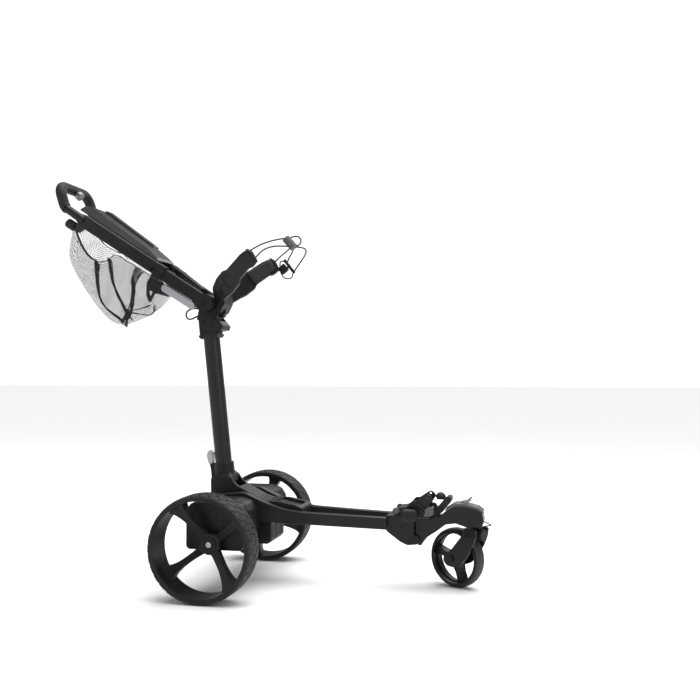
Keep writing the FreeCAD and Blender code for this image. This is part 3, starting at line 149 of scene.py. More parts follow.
class Shader:
    """One material's node tree, with a single Principled surface."""

    def __init__(self, name: str) -> None:
        self.material = bpy.data.materials.new(name)
        self.material.use_nodes = True
        self.tree = self.material.node_tree
        self.tree.nodes.clear()
        self.surface = self.tree.nodes.new("ShaderNodeBsdfPrincipled")
        output = self.tree.nodes.new("ShaderNodeOutputMaterial")
        self.tree.links.new(self.surface.outputs[0], output.inputs["Surface"])

    def node(self, kind: str, settings: Optional[dict] = None, inputs: Optional[dict] = None,
             out: Union[int, str] = 0) -> Term:
        """Add any node.

        Args:
            kind: the node's type without its ShaderNode prefix.
            settings: properties set first.
            inputs: socket name or index to a term or a value.
            out: which output to return.

        Returns:
            The chosen output as a term.
        """
        made = self.tree.nodes.new("ShaderNode" + kind)
        for key, value in (settings or {}).items():
            setattr(made, key, value)
        for key, value in (inputs or {}).items():
            plug(self.tree, made.inputs[key], value)
        return Term(self.tree, made.outputs[out])

    def place(self, stretch: Sequence[float] = (1.0, 1.0, 1.0)) -> Term:
        """Object coordinates in metres, stretched along each axis."""
        where = self.node("TexCoord", out="Object")
        return self.node("Mapping", {}, {"Vector": where, "Scale": tuple(stretch)})

    def noise(self, where: Term, scale: float, detail: float = 3.0, rough: float = 0.5) -> Term:
        """Grey noise from 0 to 1 with that many features per metre."""
        return self.node("TexNoise", {}, {"Vector": where, "Scale": scale, "Detail": detail,
                                          "Roughness": rough})

    def parts(self, where: Term) -> list[Term]:
        """A vector's three numbers."""
        split = self.tree.nodes.new("ShaderNodeSeparateXYZ")
        self.tree.links.new(where.socket, split.inputs[0])
        return [Term(self.tree, socket) for socket in split.outputs]

    def blend(self, share: Operand, first: Sequence[float], second: Sequence[float]) -> Term:
        """Mix of two colours by share."""
        return self.mix(share, (*first, 1.0), (*second, 1.0))

    def mix(self, share: Operand, first: object, second: object) -> Term:
        """Mix of two colours, each a term or four numbers."""
        made = self.tree.nodes.new("ShaderNodeMix")
        made.data_type = "RGBA"
        plug(self.tree, made.inputs[0], share)
        plug(self.tree, made.inputs[6], first)
        plug(self.tree, made.inputs[7], second)
        return Term(self.tree, made.outputs[2])

    def set(self, **values: object) -> None:
        """Set or link sockets of the surface; underscores stand for spaces."""
        for key, value in values.items():
            plug(self.tree, self.surface.inputs[key.replace("_", " ")], value)

    def relief(self, height: Term, depth: float, strength: float = 1.0) -> None:
        """Bump the surface by height times depth in metres."""
        normal = self.node("Bump", {}, {"Height": height, "Distance": depth, "Strength": strength})
        self.set(Normal=normal)


# ------------------------------------------------------------------ finishes
class Grain(Enum):
    """What the surface is like close up."""

    COAT = "powder coat with a fine orange peel"
    MOULD = "spark-eroded moulding with a fine pebble"
    SATIN = "smooth moulding with faint flow marks"
    BRUSH = "metal with long fine scratches"
    RUBBER = "matt rubber with bloom"
    FOAM = "closed-cell foam rubber"


DUST_GREY = 0.32


@dataclass(frozen=True)
class Finish:
    """A solid finish: base colour, gloss and close-up grain.

    mottle is how far the colour strays either way, as a share; dust is how much settled dust
    shows at most.
    """

    name: str
    colour: tuple[float, float, float]
    roughness: float
    grain: Grain
    metallic: float = 0.0
    mottle: float = 0.25
    dust: float = 0.08
    specular: float = 0.20

    def relief_of(self, shader: Shader) -> tuple[Term, float]:
        """The grain's height field.

        Args:
            shader: the tree to add nodes to.

        Returns:
            The height from 0 to 1 and its depth in metres.
        """
        where = shader.place()
        if self.grain is Grain.BRUSH:
            lines = shader.place((0.06, 1.0, 1.0))
            return shader.noise(lines, 2600.0, 2.0), 0.000012
        if self.grain is Grain.RUBBER:
            fine = shader.noise(where, 1500.0, 2.0)
            return fine * 0.7 + shader.noise(where, 160.0, 3.0) * 0.5, 0.00010
        if self.grain is Grain.FOAM:
            cells = shader.node("TexVoronoi", {"feature": "DISTANCE_TO_EDGE"},
                                {"Vector": where, "Scale": 620.0}, out="Distance")
            return cells.ramp(0.0, 0.35) + shader.noise(where, 240.0, 2.0) * 0.4, 0.00014
        if self.grain is Grain.MOULD:
            pebble = shader.node("TexVoronoi", {"feature": "SMOOTH_F1"},
                                 {"Vector": where, "Scale": 1250.0, "Smoothness": 0.6}, out="Distance")
            return pebble + shader.noise(where, 420.0, 3.0) * 0.5, 0.00007
        if self.grain is Grain.COAT:
            return shader.noise(where, 520.0, 2.0, 0.4), 0.00005
        return shader.noise(where, 90.0, 2.0, 0.4), 0.00004

    def build(self) -> bpy.types.Material:
        """Make the material.

        Returns:
            A node material with mottled colour, uneven gloss, light dust and grain.
        """
        shader = Shader(self.name)
        where = shader.place()
        broad = shader.noise(where, 9.0, 4.0, 0.6)
        fine = shader.noise(where, 210.0, 3.0, 0.55)
        light = tuple(min(1.0, c * (1.0 + self.mottle) + 0.004) for c in self.colour)
        dark = tuple(c * (1.0 - self.mottle) for c in self.colour)
        share = (broad * 0.6 + fine * 0.4).ramp(0.3, 0.7)
        base = shader.blend(share, dark, light)
        settled = (broad * fine * 2.2).ramp(0.45, 1.0) * self.dust
        dusty = tuple(0.5 * (c + DUST_GREY) for c in self.colour)
        shader.set(Base_Color=shader.mix(settled, base, (*dusty, 1.0)))
        gloss = (fine - 0.5) * 0.12 + (broad - 0.5) * 0.10 + self.roughness + settled * 0.3
        shader.set(Roughness=gloss, Metallic=self.metallic, Specular_IOR_Level=self.specular)
        height, depth = self.relief_of(shader)
        shader.relief(height, depth)
        return shader.material


@dataclass(frozen=True)
class Braid:
    """Braided elastic cord: strands cross on the slant, pitch metres apart, with the grooves between them painted
    darker as painted shade.
    """

    name: str
    colour: tuple[float, float, float]
    fleck: tuple[float, float, float]
    pitch: float = 0.0016

    def build(self) -> bpy.types.Material:
        """Make the material.

        Returns:
            A woven material with lighter flecks.
        """
        shader = Shader(self.name)
        where = shader.place()
        turn = 2.0 * math.pi / self.pitch
        x, y, z = shader.parts(where)
        one = ((x + y + z) * turn).sine()
        two = ((x - y + z) * turn).sine()
        weave = one.most(two).ramp(-0.6, 1.0)
        tint = shader.noise(where, 900.0, 2.0).ramp(0.58, 0.7)
        # Painted shade: where the weave is low, between the strands, the colour falls to a third; the bump below
        # uses the same height.
        base = shader.blend(weave, tuple(c * 0.35 for c in self.colour), self.colour)
        shader.set(Base_Color=shader.mix(tint * 0.5, base, (*self.fleck, 1.0)), Sheen_Weight=0.25,
                   Sheen_Roughness=0.5, Roughness=0.82)
        shader.relief(weave, 0.00022)
        return shader.material


@dataclass(frozen=True)
class Netting:
    """Knitted open mesh: threads crossing on the piece's UV map, clear between them."""

    name: str
    thread: tuple[float, float, float]
    pitch: float
    cover: float

    def build(self) -> bpy.types.Material:
        """Make the material.

        The UV map is in metres.  Two families of wavy threads cross on the slant, a pitch apart.
        The threads take up the share cover of each pitch, and a little more where they bunch.

        Returns:
            A material that is thread or nothing.
        """
        shader = Shader(self.name)
        plane = shader.node("UVMap", {"uv_map": "cut"})
        along, across = shader.parts(plane)[:2]
        ripple = shader.noise(plane, 60.0, 2.0) * (self.pitch * 1.6)
        one = ((along + across + ripple) / self.pitch).fraction()
        two = ((along - across + ripple) / self.pitch).fraction()
        near_thread = ((one - 0.5).size() * 2.0).most((two - 0.5).size() * 2.0)
        bunch = shader.noise(plane, 22.0, 3.0).ramp(0.5, 0.85) * 0.16
        covered = near_thread > (1.0 - self.cover - bunch)
        shade = shader.noise(plane, 300.0, 2.0).ramp(0.25, 0.8)
        base = shader.blend(shade, tuple(c * 0.55 for c in self.thread), self.thread)
        shader.set(Base_Color=base, Roughness=0.7, Alpha=covered, Sheen_Weight=0.15)
        shader.relief(near_thread, 0.0003)
        return shader.material


RAIL = Finish("satin_rail", (0.0085, 0.0087, 0.0095), 0.34, Grain.COAT, mottle=0.12, dust=0.02)
TUBE = Finish("mast_tube_coat", (0.016, 0.016, 0.018), 0.33, Grain.COAT, mottle=0.10, dust=0.02)
SHELL = Finish("black_moulding", (0.0080, 0.0082, 0.0090), 0.42, Grain.MOULD, dust=0.03)
GREY_SHELL = Finish("grey_moulding", (0.090, 0.092, 0.098), 0.40, Grain.SATIN, mottle=0.07, dust=0.02)
PALE = Finish("pale_moulding", (0.30, 0.31, 0.33), 0.36, Grain.SATIN, mottle=0.05, dust=0.02)
SILVER = Finish("blasted_silver", (0.40, 0.41, 0.43), 0.36, Grain.BRUSH, metallic=0.75, mottle=0.08,
                dust=0.02)
PIN = Finish("black_steel", (0.012, 0.012, 0.013), 0.34, Grain.BRUSH, metallic=0.4, mottle=0.1, dust=0.02)
TREAD = Finish("tread_rubber", (0.016, 0.0165, 0.018), 0.50, Grain.RUBBER, mottle=0.2, dust=0.06)
GREY_TYRE = Finish("grey_tyre", (0.030, 0.031, 0.034), 0.50, Grain.RUBBER, mottle=0.12, dust=0.04)
GRIP = Finish("grip_foam", (0.012, 0.0125, 0.0135), 0.50, Grain.FOAM, mottle=0.2, dust=0.03)
PAD = Finish("pad_rubber", (0.018, 0.0185, 0.020), 0.55, Grain.RUBBER, mottle=0.15, dust=0.04)
NET = Netting("net_mesh", (0.150, 0.142, 0.165), 0.0062, 0.20)
# Painted shade: the net's gathered folds get this near-black, far darker than the net's own thread; the draw cords
# share it as their own dark colour.
FOLD_SHADE_AND_DARK_CORD = Finish("fold_shade_and_dark_cord", (0.016, 0.0145, 0.019), 0.70, Grain.FOAM, mottle=0.35, dust=0.02)
CONSOLE = Finish("console_gloss", (0.030, 0.031, 0.034), 0.26, Grain.SATIN, mottle=0.06, dust=0.02,
                 specular=0.35)
DIAL = Finish("dial_satin", (0.20, 0.205, 0.215), 0.30, Grain.BRUSH, metallic=0.55, mottle=0.06, dust=0.02)
ELASTIC = Braid("elastic_braid", (0.012, 0.012, 0.014), (0.06, 0.06, 0.065))
SLOT_FINISH = {"frame_black": RAIL, "mast_black": TUBE, "shell_black": SHELL, "shell_grey": GREY_SHELL,
               "lever_grey": PALE, "silver": SILVER, "pin_black": PIN, "tyre_black": TREAD,
               "tyre_grey": GREY_TYRE, "grip_rubber": GRIP, "pad_rubber": PAD, "net_mesh": NET,
               "elastic": ELASTIC}
NODE_FINISH = {"console_cover": CONSOLE, "speed_dial": DIAL}
MADE: dict[str, bpy.types.Material] = {}


def dress(piece: bpy.types.Object, finish: Union[Finish, Braid, Netting]) -> None:
    """Give the piece one finish, made once and shared."""
    if finish.name not in MADE:
        MADE[finish.name] = finish.build()
    piece.data.materials.clear()
    piece.data.materials.append(MADE[finish.name])


# ------------------------------------------------------------------ surfaces
def piece_from(name: str, points: np.ndarray, faces: np.ndarray, uv: Optional[np.ndarray] = None,
               sharp: Optional[float] = 35.0) -> bpy.types.Object:
    """Put arrays into a mesh object at the origin.

    Args:
        name: the piece's name.
        points: (n, 3) places in metres.
        faces: (m, k) corner indices, k the same for all.
        uv: (n, 2) map in metres, one per point.
        sharp: edges that turn by more than this many degrees stay crisp.

    Returns:
        The new object, smooth shaded.
    """
    mesh = bpy.data.meshes.new(name)
    count, sides = faces.shape
    mesh.vertices.add(len(points))
    mesh.vertices.foreach_set("co", points.astype(np.float32).ravel())
    mesh.loops.add(count * sides)
    mesh.loops.foreach_set("vertex_index", faces.astype(np.int32).ravel())
    mesh.polygons.add(count)
    mesh.polygons.foreach_set("loop_start", np.arange(0, count * sides, sides, dtype=np.int32))
    mesh.update(calc_edges=True)
    mesh.polygons.foreach_set("use_smooth", np.ones(count, bool))
    if uv is not None:
        layer = mesh.uv_layers.new(name="cut")
        layer.data.foreach_set("uv", uv[faces.ravel()].astype(np.float32).ravel())
    mesh.validate()
    if sharp is not None:
        mesh.set_sharp_from_angle(angle=math.radians(sharp))
    made = bpy.data.objects.new(name, mesh)
    bpy.context.scene.collection.objects.link(made)
    return made


def quads(rows: int, columns: int, ring_rows: bool, ring_columns: bool) -> np.ndarray:
    """Corner indices of a grid's faces.

    Args:
        rows: points along the first parameter.
        columns: points along the second parameter.
        ring_rows: whether the last row joins the first.
        ring_columns: whether the last column joins the first.

    Returns:
        An (m, 4) array.
    """
    i = np.arange(rows if ring_rows else rows - 1)
    j = np.arange(columns if ring_columns else columns - 1)
    i, j = np.meshgrid(i, j, indexing="ij")
    down = (i + 1) % rows
    right = (j + 1) % columns
    corners = [i * columns + j, i * columns + right, down * columns + right, down * columns + j]
    return np.stack([c.ravel() for c in corners], axis=1)


def smooth_step(low: float, high: float, value: np.ndarray) -> np.ndarray:
    """0 below low, 1 above high, a soft S between."""
    t = np.clip((value - low) / (high - low), 0.0, 1.0)
    return t * t * (3.0 - 2.0 * t)


def turned(name: str, profile: np.ndarray, centre: np.ndarray, axis: np.ndarray, around: int = 96,
           sharp: float = 35.0) -> bpy.types.Object:
    """Revolve a closed (radius, offset) profile about an axis through centre.

    A point is centre + offset * axis + radius * (sin a * ahead + cos a * up), with a going once
    round and ahead square to the axis and to up.
    """
    up = np.array([0.0, 0.0, 1.0])
    ahead = np.cross(axis, up)
    angle = np.linspace(0.0, 2.0 * math.pi, around, endpoint=False)[:, None, None]
    radius = profile[None, :, :1]
    grid = centre + profile[None, :, 1:] * axis + radius * (np.sin(angle) * ahead + np.cos(angle) * up)
    faces = quads(around, len(profile), True, True)
    return piece_from(name, grid.reshape(-1, 3), faces, sharp=sharp)


TIPPED_UP = np.array([0.13, 0.11, 1.0])
POINT_R = 1e-5


def tube_along(name: str, line: np.ndarray, radius: Union[float, np.ndarray], sides: int) -> bpy.types.Object:
    """A closed tube that follows a line of points.

    Each ring lies in the plane square to the line there: the first side direction is the world
    up, tipped a little, made square to the line, and the second is square to both.

    Args:
        name: the piece's name.
        line: (n, 3) places in metres.
        radius: one value, or one per point.
        sides: corners in a ring.

    Returns:
        The tube, its ends closed to a point.
    """
    ahead = np.gradient(line, axis=0)
    ahead /= np.linalg.norm(ahead, axis=1, keepdims=True)
    up = np.tile(TIPPED_UP, (len(line), 1))
    up -= ahead * np.sum(up * ahead, axis=1, keepdims=True)
    up /= np.linalg.norm(up, axis=1, keepdims=True)
    side = np.cross(ahead, up)
    width = np.broadcast_to(np.asarray(radius, float), (len(line),)).copy()
    ends = np.concatenate([[line[0]], line, [line[-1]]])
    up, side = (np.concatenate([[v[0]], v, [v[-1]]]) for v in (up, side))
    width = np.concatenate([[POINT_R], width, [POINT_R]])[:, None, None]
    angle = np.linspace(0.0, 2.0 * math.pi, sides, endpoint=False)[None, :, None]
    grid = ends[:, None] + width * (np.cos(angle) * up[:, None] + np.sin(angle) * side[:, None])
    return piece_from(name, grid.reshape(-1, 3), quads(len(ends), sides, False, True), sharp=None)


def spline_line(points: Sequence[Sequence[float]], count: int) -> np.ndarray:
    """Smooth line near given points: a uniform quadratic B-spline held at both ends.

    Args:
        points: control points.
        count: how many places to return.

    Returns:
        (count, k) places for control points of k numbers.
    """
    ctrl = np.array(points, float)
    spans = len(ctrl) - 2
    t = np.linspace(0.0, spans, count) - 1e-9
    t = np.clip(t, 0.0, None)
    k = np.floor(t).astype(int)
    u = (t - k)[:, None]
    a = ctrl[k].copy()
    c = ctrl[k + 2].copy()
    b = ctrl[k + 1]
    start = np.where((k == 0)[:, None], a, (a + b) / 2.0)
    stop = np.where((k == spans - 1)[:, None], c, (b + c) / 2.0)
    return start * (1 - u) ** 2 + b * 2 * u * (1 - u) + stop * u ** 2


def even(points: Sequence[Sequence[float]], count: int) -> np.ndarray:
    """Evenly spaced places along the smooth line near some points."""
    line = spline_line(points, 400)
    steps = np.linalg.norm(np.diff(line, axis=0), axis=1)
    run = np.concatenate([[0.0], np.cumsum(steps)])
    want = np.linspace(0.0, run[-1], count)
    return np.stack([np.interp(want, run, line[:, i]) for i in range(line.shape[1])], axis=1)


def join(name: str, parts: Sequence[bpy.types.Object]) -> bpy.types.Object:
    """Join pieces into the first of them, under a new name."""
    with bpy.context.temp_override(active_object=parts[0], selected_editable_objects=list(parts)):
        bpy.ops.object.join()
    parts[0].name = name
    parts[0].data.name = name
    return parts[0]


# ------------------------------------------------------------------ places
@dataclass(frozen=True)
class Axle:
    """The ground under the rear axle, from which fixed places are measured."""

    x: float

    def at(self, x: float, y: float, z: float) -> tuple[float, float, float]:
        """A place given from the rear axle, in the frame."""
        return (self.x + x, y, z)


@dataclass(frozen=True)
class Reach:
    """The handle's own directions: s up along the rails, y to the left, n square to both."""

    origin: np.ndarray
    along: np.ndarray
    above: np.ndarray

    def at(self, s: np.ndarray, y: np.ndarray, n: np.ndarray) -> np.ndarray:
        """Places from handle coordinates in metres.

        Args:
            s: distance from the hinge along the rails.
            y: distance to the left.
            n: height over the rails' middle.

        Returns:
            Points with three numbers in the last direction.
        """
        s, y, n = (np.asarray(v, float)[..., None] for v in (s, y, n))
        return self.origin + s * self.along + y * np.array([0.0, 1.0, 0.0]) + n * self.above


def handle_reach() -> Reach:
    """The handle's frame from its hinge and from the accessory knob's axis."""
    origin = np.array(JOINTS["handle_tilt"]["pos_m"], float)
    along = np.array(JOINTS["accessory_knob_turn"]["axis"], float)
    along /= np.linalg.norm(along)
    above = np.array([along[2], 0.0, -along[0]])
    return Reach(origin, along, above)


AXLE = Axle(JOINTS["right_wheel_spin"]["pos_m"][0])
HANDLE = handle_reach()


# ------------------------------------------------------------------ tyres
@dataclass
class RearTyre:
    """A rear tyre with interlocking six-sided tread blocks."""

    node: str
    body: str
    blocks: int = 32
    groove: float = 0.0030
    depth: float = 0.0027
    lip: float = 0.1325
    seat: float = 0.0045
    seat_drop: float = 0.0030
    crown: float = 0.0026
    shoulder: float = 0.0046
    around: int = 832
    across: int = 76

    def tread(self, along: np.ndarray, side: np.ndarray, pitch: float) -> np.ndarray:
        """How far the rubber stands below the blocks' tops.

        The tread is a honeycomb.  With w the pitch round the tyre, a point's distance to the edge
        of its cell is w/2 less the largest of its three projections on the cell's flats, taken
        for the two nearest families of cells.  The groove is where that distance is small, and a
        finer six-sided cut runs inside each block.

        Args:
            along: distance round the tyre.
            side: distance from its middle plane.
            pitch: width of a cell round the tyre.

        Returns:
            Depth in metres.
        """
        column = pitch * math.sqrt(3.0) / 2.0
        best = np.full(along.shape, -1.0)
        for shift in (0.0, 1.0):
            b = side - column * (2.0 * np.round((side / column - shift) / 2.0) + shift)
            a = along - pitch * 0.5 * shift + 0.0 * side
            a = a - pitch * np.round(a / pitch)
            flats = [np.abs(a), np.abs(a * 0.5 + b * math.sqrt(0.75)), np.abs(a * 0.5 - b * math.sqrt(0.75))]
            best = np.maximum(best, pitch / 2.0 - np.maximum.reduce(flats))
        groove = 1.0 - smooth_step(self.groove * 0.35, self.groove * 0.75, best)
        sipe = 1.0 - smooth_step(0.0004, 0.0010, np.abs(best - pitch * 0.23))
        return self.depth * np.maximum(groove, 0.38 * sipe)

    def build(self) -> bpy.types.Object:
        """Make the tyre round its node's own box.

        The section runs over the crowned tread, down each shoulder and wall and back along the
        bead seat.  The tread's radius is the tyre's, less the crown times the fourth power of the
        share of the half width, less the groove depth, which halves in the last 0.8 mm.

        Returns:
            The tyre piece.
        """
        low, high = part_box(self.node)
        centre = (low + high) / 2.0
        radius = (high.z - low.z) / 2.0
        half = (high.y - low.y) / 2.0
        pitch = 2.0 * math.pi * radius / self.blocks
        side = np.linspace(-half, half, self.across)[None, :]
        angle = np.linspace(0.0, 2.0 * math.pi, self.around, endpoint=False)[:, None]
        crown = self.crown * np.abs(side / half) ** 4
        shoulder = 1.0 - smooth_step(half - 0.0008, half, np.abs(side)) * 0.5
        cut = self.tread(angle * radius, side + 0.0 * angle, pitch) * shoulder
        tread = radius - crown - cut
        wall = np.array([(radius - self.shoulder, half), (self.lip + 0.0012, half - 0.0004),
                         (self.lip, half - 0.0016), (self.lip - 0.0006, half - self.seat)])
        bead = self.lip - self.seat_drop
        seat = np.array([(bead, half - self.seat), (bead - 0.0004, 0.0), (bead, -half + self.seat)])
        back = wall[::-1] * np.array([1.0, -1.0])
        rest = np.concatenate([wall, seat, back])
        fixed_r = np.broadcast_to(rest[None, :, 0], (self.around, len(rest)))
        fixed_y = np.broadcast_to(rest[None, :, 1], (self.around, len(rest)))
        r = np.concatenate([tread, fixed_r], axis=1)
        y = np.concatenate([np.broadcast_to(side, tread.shape), fixed_y], axis=1)
        grid = np.stack([centre.x + r * np.sin(angle), centre.y + y, centre.z + r * np.cos(angle)], axis=-1)
        faces = quads(self.around, r.shape[1], True, True)
        made = piece_from("%s_tread" % self.node, grid.reshape(-1, 3), faces, sharp=50.0)
        dress(made, TREAD)
        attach(made, self.body)
        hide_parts(self.node)
        return made


@dataclass
class FrontTyre:
    """The swivel wheel's smooth tyre, with a moulding line and a raised bead."""

    node: str = "tyre_front"
    body: str = "wheel_front"
    bead: float = 0.0750
    arch: float = 0.0055
    line_depth: float = 0.0005
    seat: float = 0.003

    def build(self) -> bpy.types.Object:
        """Make the tyre: an arched section with a shallow ring down its middle and one each side.

        The wheel stands turned, so its half width comes from the node's box: the box's half depth
        is radius * |axis x| + half width * |axis y|.

        Returns:
            The tyre piece.
        """
        low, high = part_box(self.node)
        axis = np.array(JOINTS["front_wheel_spin"]["axis"], float)
        centre = np.array(JOINTS["front_wheel_spin"]["pos_m"], float)
        radius = (high.z - low.z) / 2.0
        half = ((high.y - low.y) / 2.0 - radius * abs(axis[0])) / abs(axis[1])
        share = np.linspace(-1.0, 1.0, 41)
        arch = radius - self.arch * np.abs(share) ** 3.2
        side_ring = np.abs(np.abs(share) - 0.62) < 0.03
        ring = self.line_depth * (side_ring | (np.abs(share) < 0.02))
        outer = np.stack([arch - ring, share * half], axis=1)
        wall = np.array([(self.bead + 0.0008, half), (self.bead, half - 0.0008),
                         (self.bead, half - self.seat), (self.bead - 0.0025, half - self.seat)])
        section = np.concatenate([outer, wall, (wall * np.array([1.0, -1.0]))[::-1]])
        made = turned("front_tyre_skin", section, centre, axis, 160, 40.0)
        dress(made, GREY_TYRE)
        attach(made, self.body)
        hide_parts(self.node)
        return made


# ------------------------------------------------------------------ cords
@dataclass
class FreeCord:
    """An elastic cord or cable that hangs free between two fittings."""

    node: str
    body: str
    route: Sequence[tuple[float, float, float]]
    length: float
    diameter: float
    far_end: str
    stiffness: str = "limp"
    lay: str = "taut"

    def build(self) -> bpy.types.Object:
        """Make the cord as one smooth NURBS line through its listed control points.

        Returns:
            The cord's curve, with its round section.
        """
        curve = bpy.data.curves.new(self.node + "_line", "CURVE")
        curve.dimensions = "3D"
        curve.bevel_depth = self.diameter / 2.0
        curve.bevel_resolution = 4
        curve.resolution_u = 16
        curve.use_fill_caps = True
        spline = curve.splines.new("NURBS")
        spline.points.add(len(self.route) - 1)
        places = [AXLE.at(*point) for point in self.route]
        for point, place in zip(spline.points, places):
            point.co = (*place, 1.0)
        spline.order_u = 3
        spline.use_endpoint_u = True
        made = bpy.data.objects.new(self.node + "_line", curve)
        bpy.context.scene.collection.objects.link(made)
        dress(made, ELASTIC)
        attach(made, self.body)
        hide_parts(self.node)
        return made


BUNGEE_D = 0.0044
CORDS = (
    FreeCord("bungee_upper", "mast", [(0.067, -0.107, 0.929), (0.084, -0.084, 0.947), (0.104, -0.054, 0.962),
                                      (0.126, -0.024, 0.973), (0.140, -0.004, 0.978)],
             0.1364, BUNGEE_D, "object"),
    FreeCord("bungee_lower", "mast", [(0.083, -0.106, 0.908), (0.092, -0.090, 0.928), (0.106, -0.064, 0.944),
                                      (0.127, -0.034, 0.953), (0.155, -0.008, 0.953)],
             0.1359, BUNGEE_D, "object"),
    FreeCord("bungee_crown", "mast", [(0.150, 0.004, 0.979), (0.167, 0.005, 0.987), (0.184, 0.007, 0.978),
                                      (0.182, 0.006, 0.959), (0.164, 0.001, 0.951)],
             0.0727, BUNGEE_D, "object", lay="loose"),
    FreeCord("bungee_left", "mast", [(0.153, 0.010, 0.955), (0.131, 0.032, 0.943), (0.100, 0.068, 0.935),
                                     (0.074, 0.101, 0.923)], 0.1251, BUNGEE_D, "object"),
    FreeCord("bungee_mid", "mast", [(0.160, 0.008, 0.948), (0.148, 0.036, 0.941), (0.128, 0.076, 0.935),
                                    (0.108, 0.115, 0.922)], 0.1220, BUNGEE_D, "object"),
    FreeCord("bungee_outer", "mast", [(0.163, 0.006, 0.954), (0.190, 0.028, 0.955), (0.184, 0.062, 0.943),
                                      (0.160, 0.094, 0.925), (0.131, 0.115, 0.897)],
             0.1565, BUNGEE_D, "object", lay="loose"),
    FreeCord("hinge_cable", "mast", [(-0.104, -0.015, 0.776), (-0.131, -0.022, 0.781),
                                     (-0.151, -0.031, 0.771), (-0.151, -0.035, 0.752),
                                     (-0.137, -0.030, 0.743), (-0.106, -0.019, 0.765)],
             0.1231, 0.0048, "object", "medium", "loose"),
)


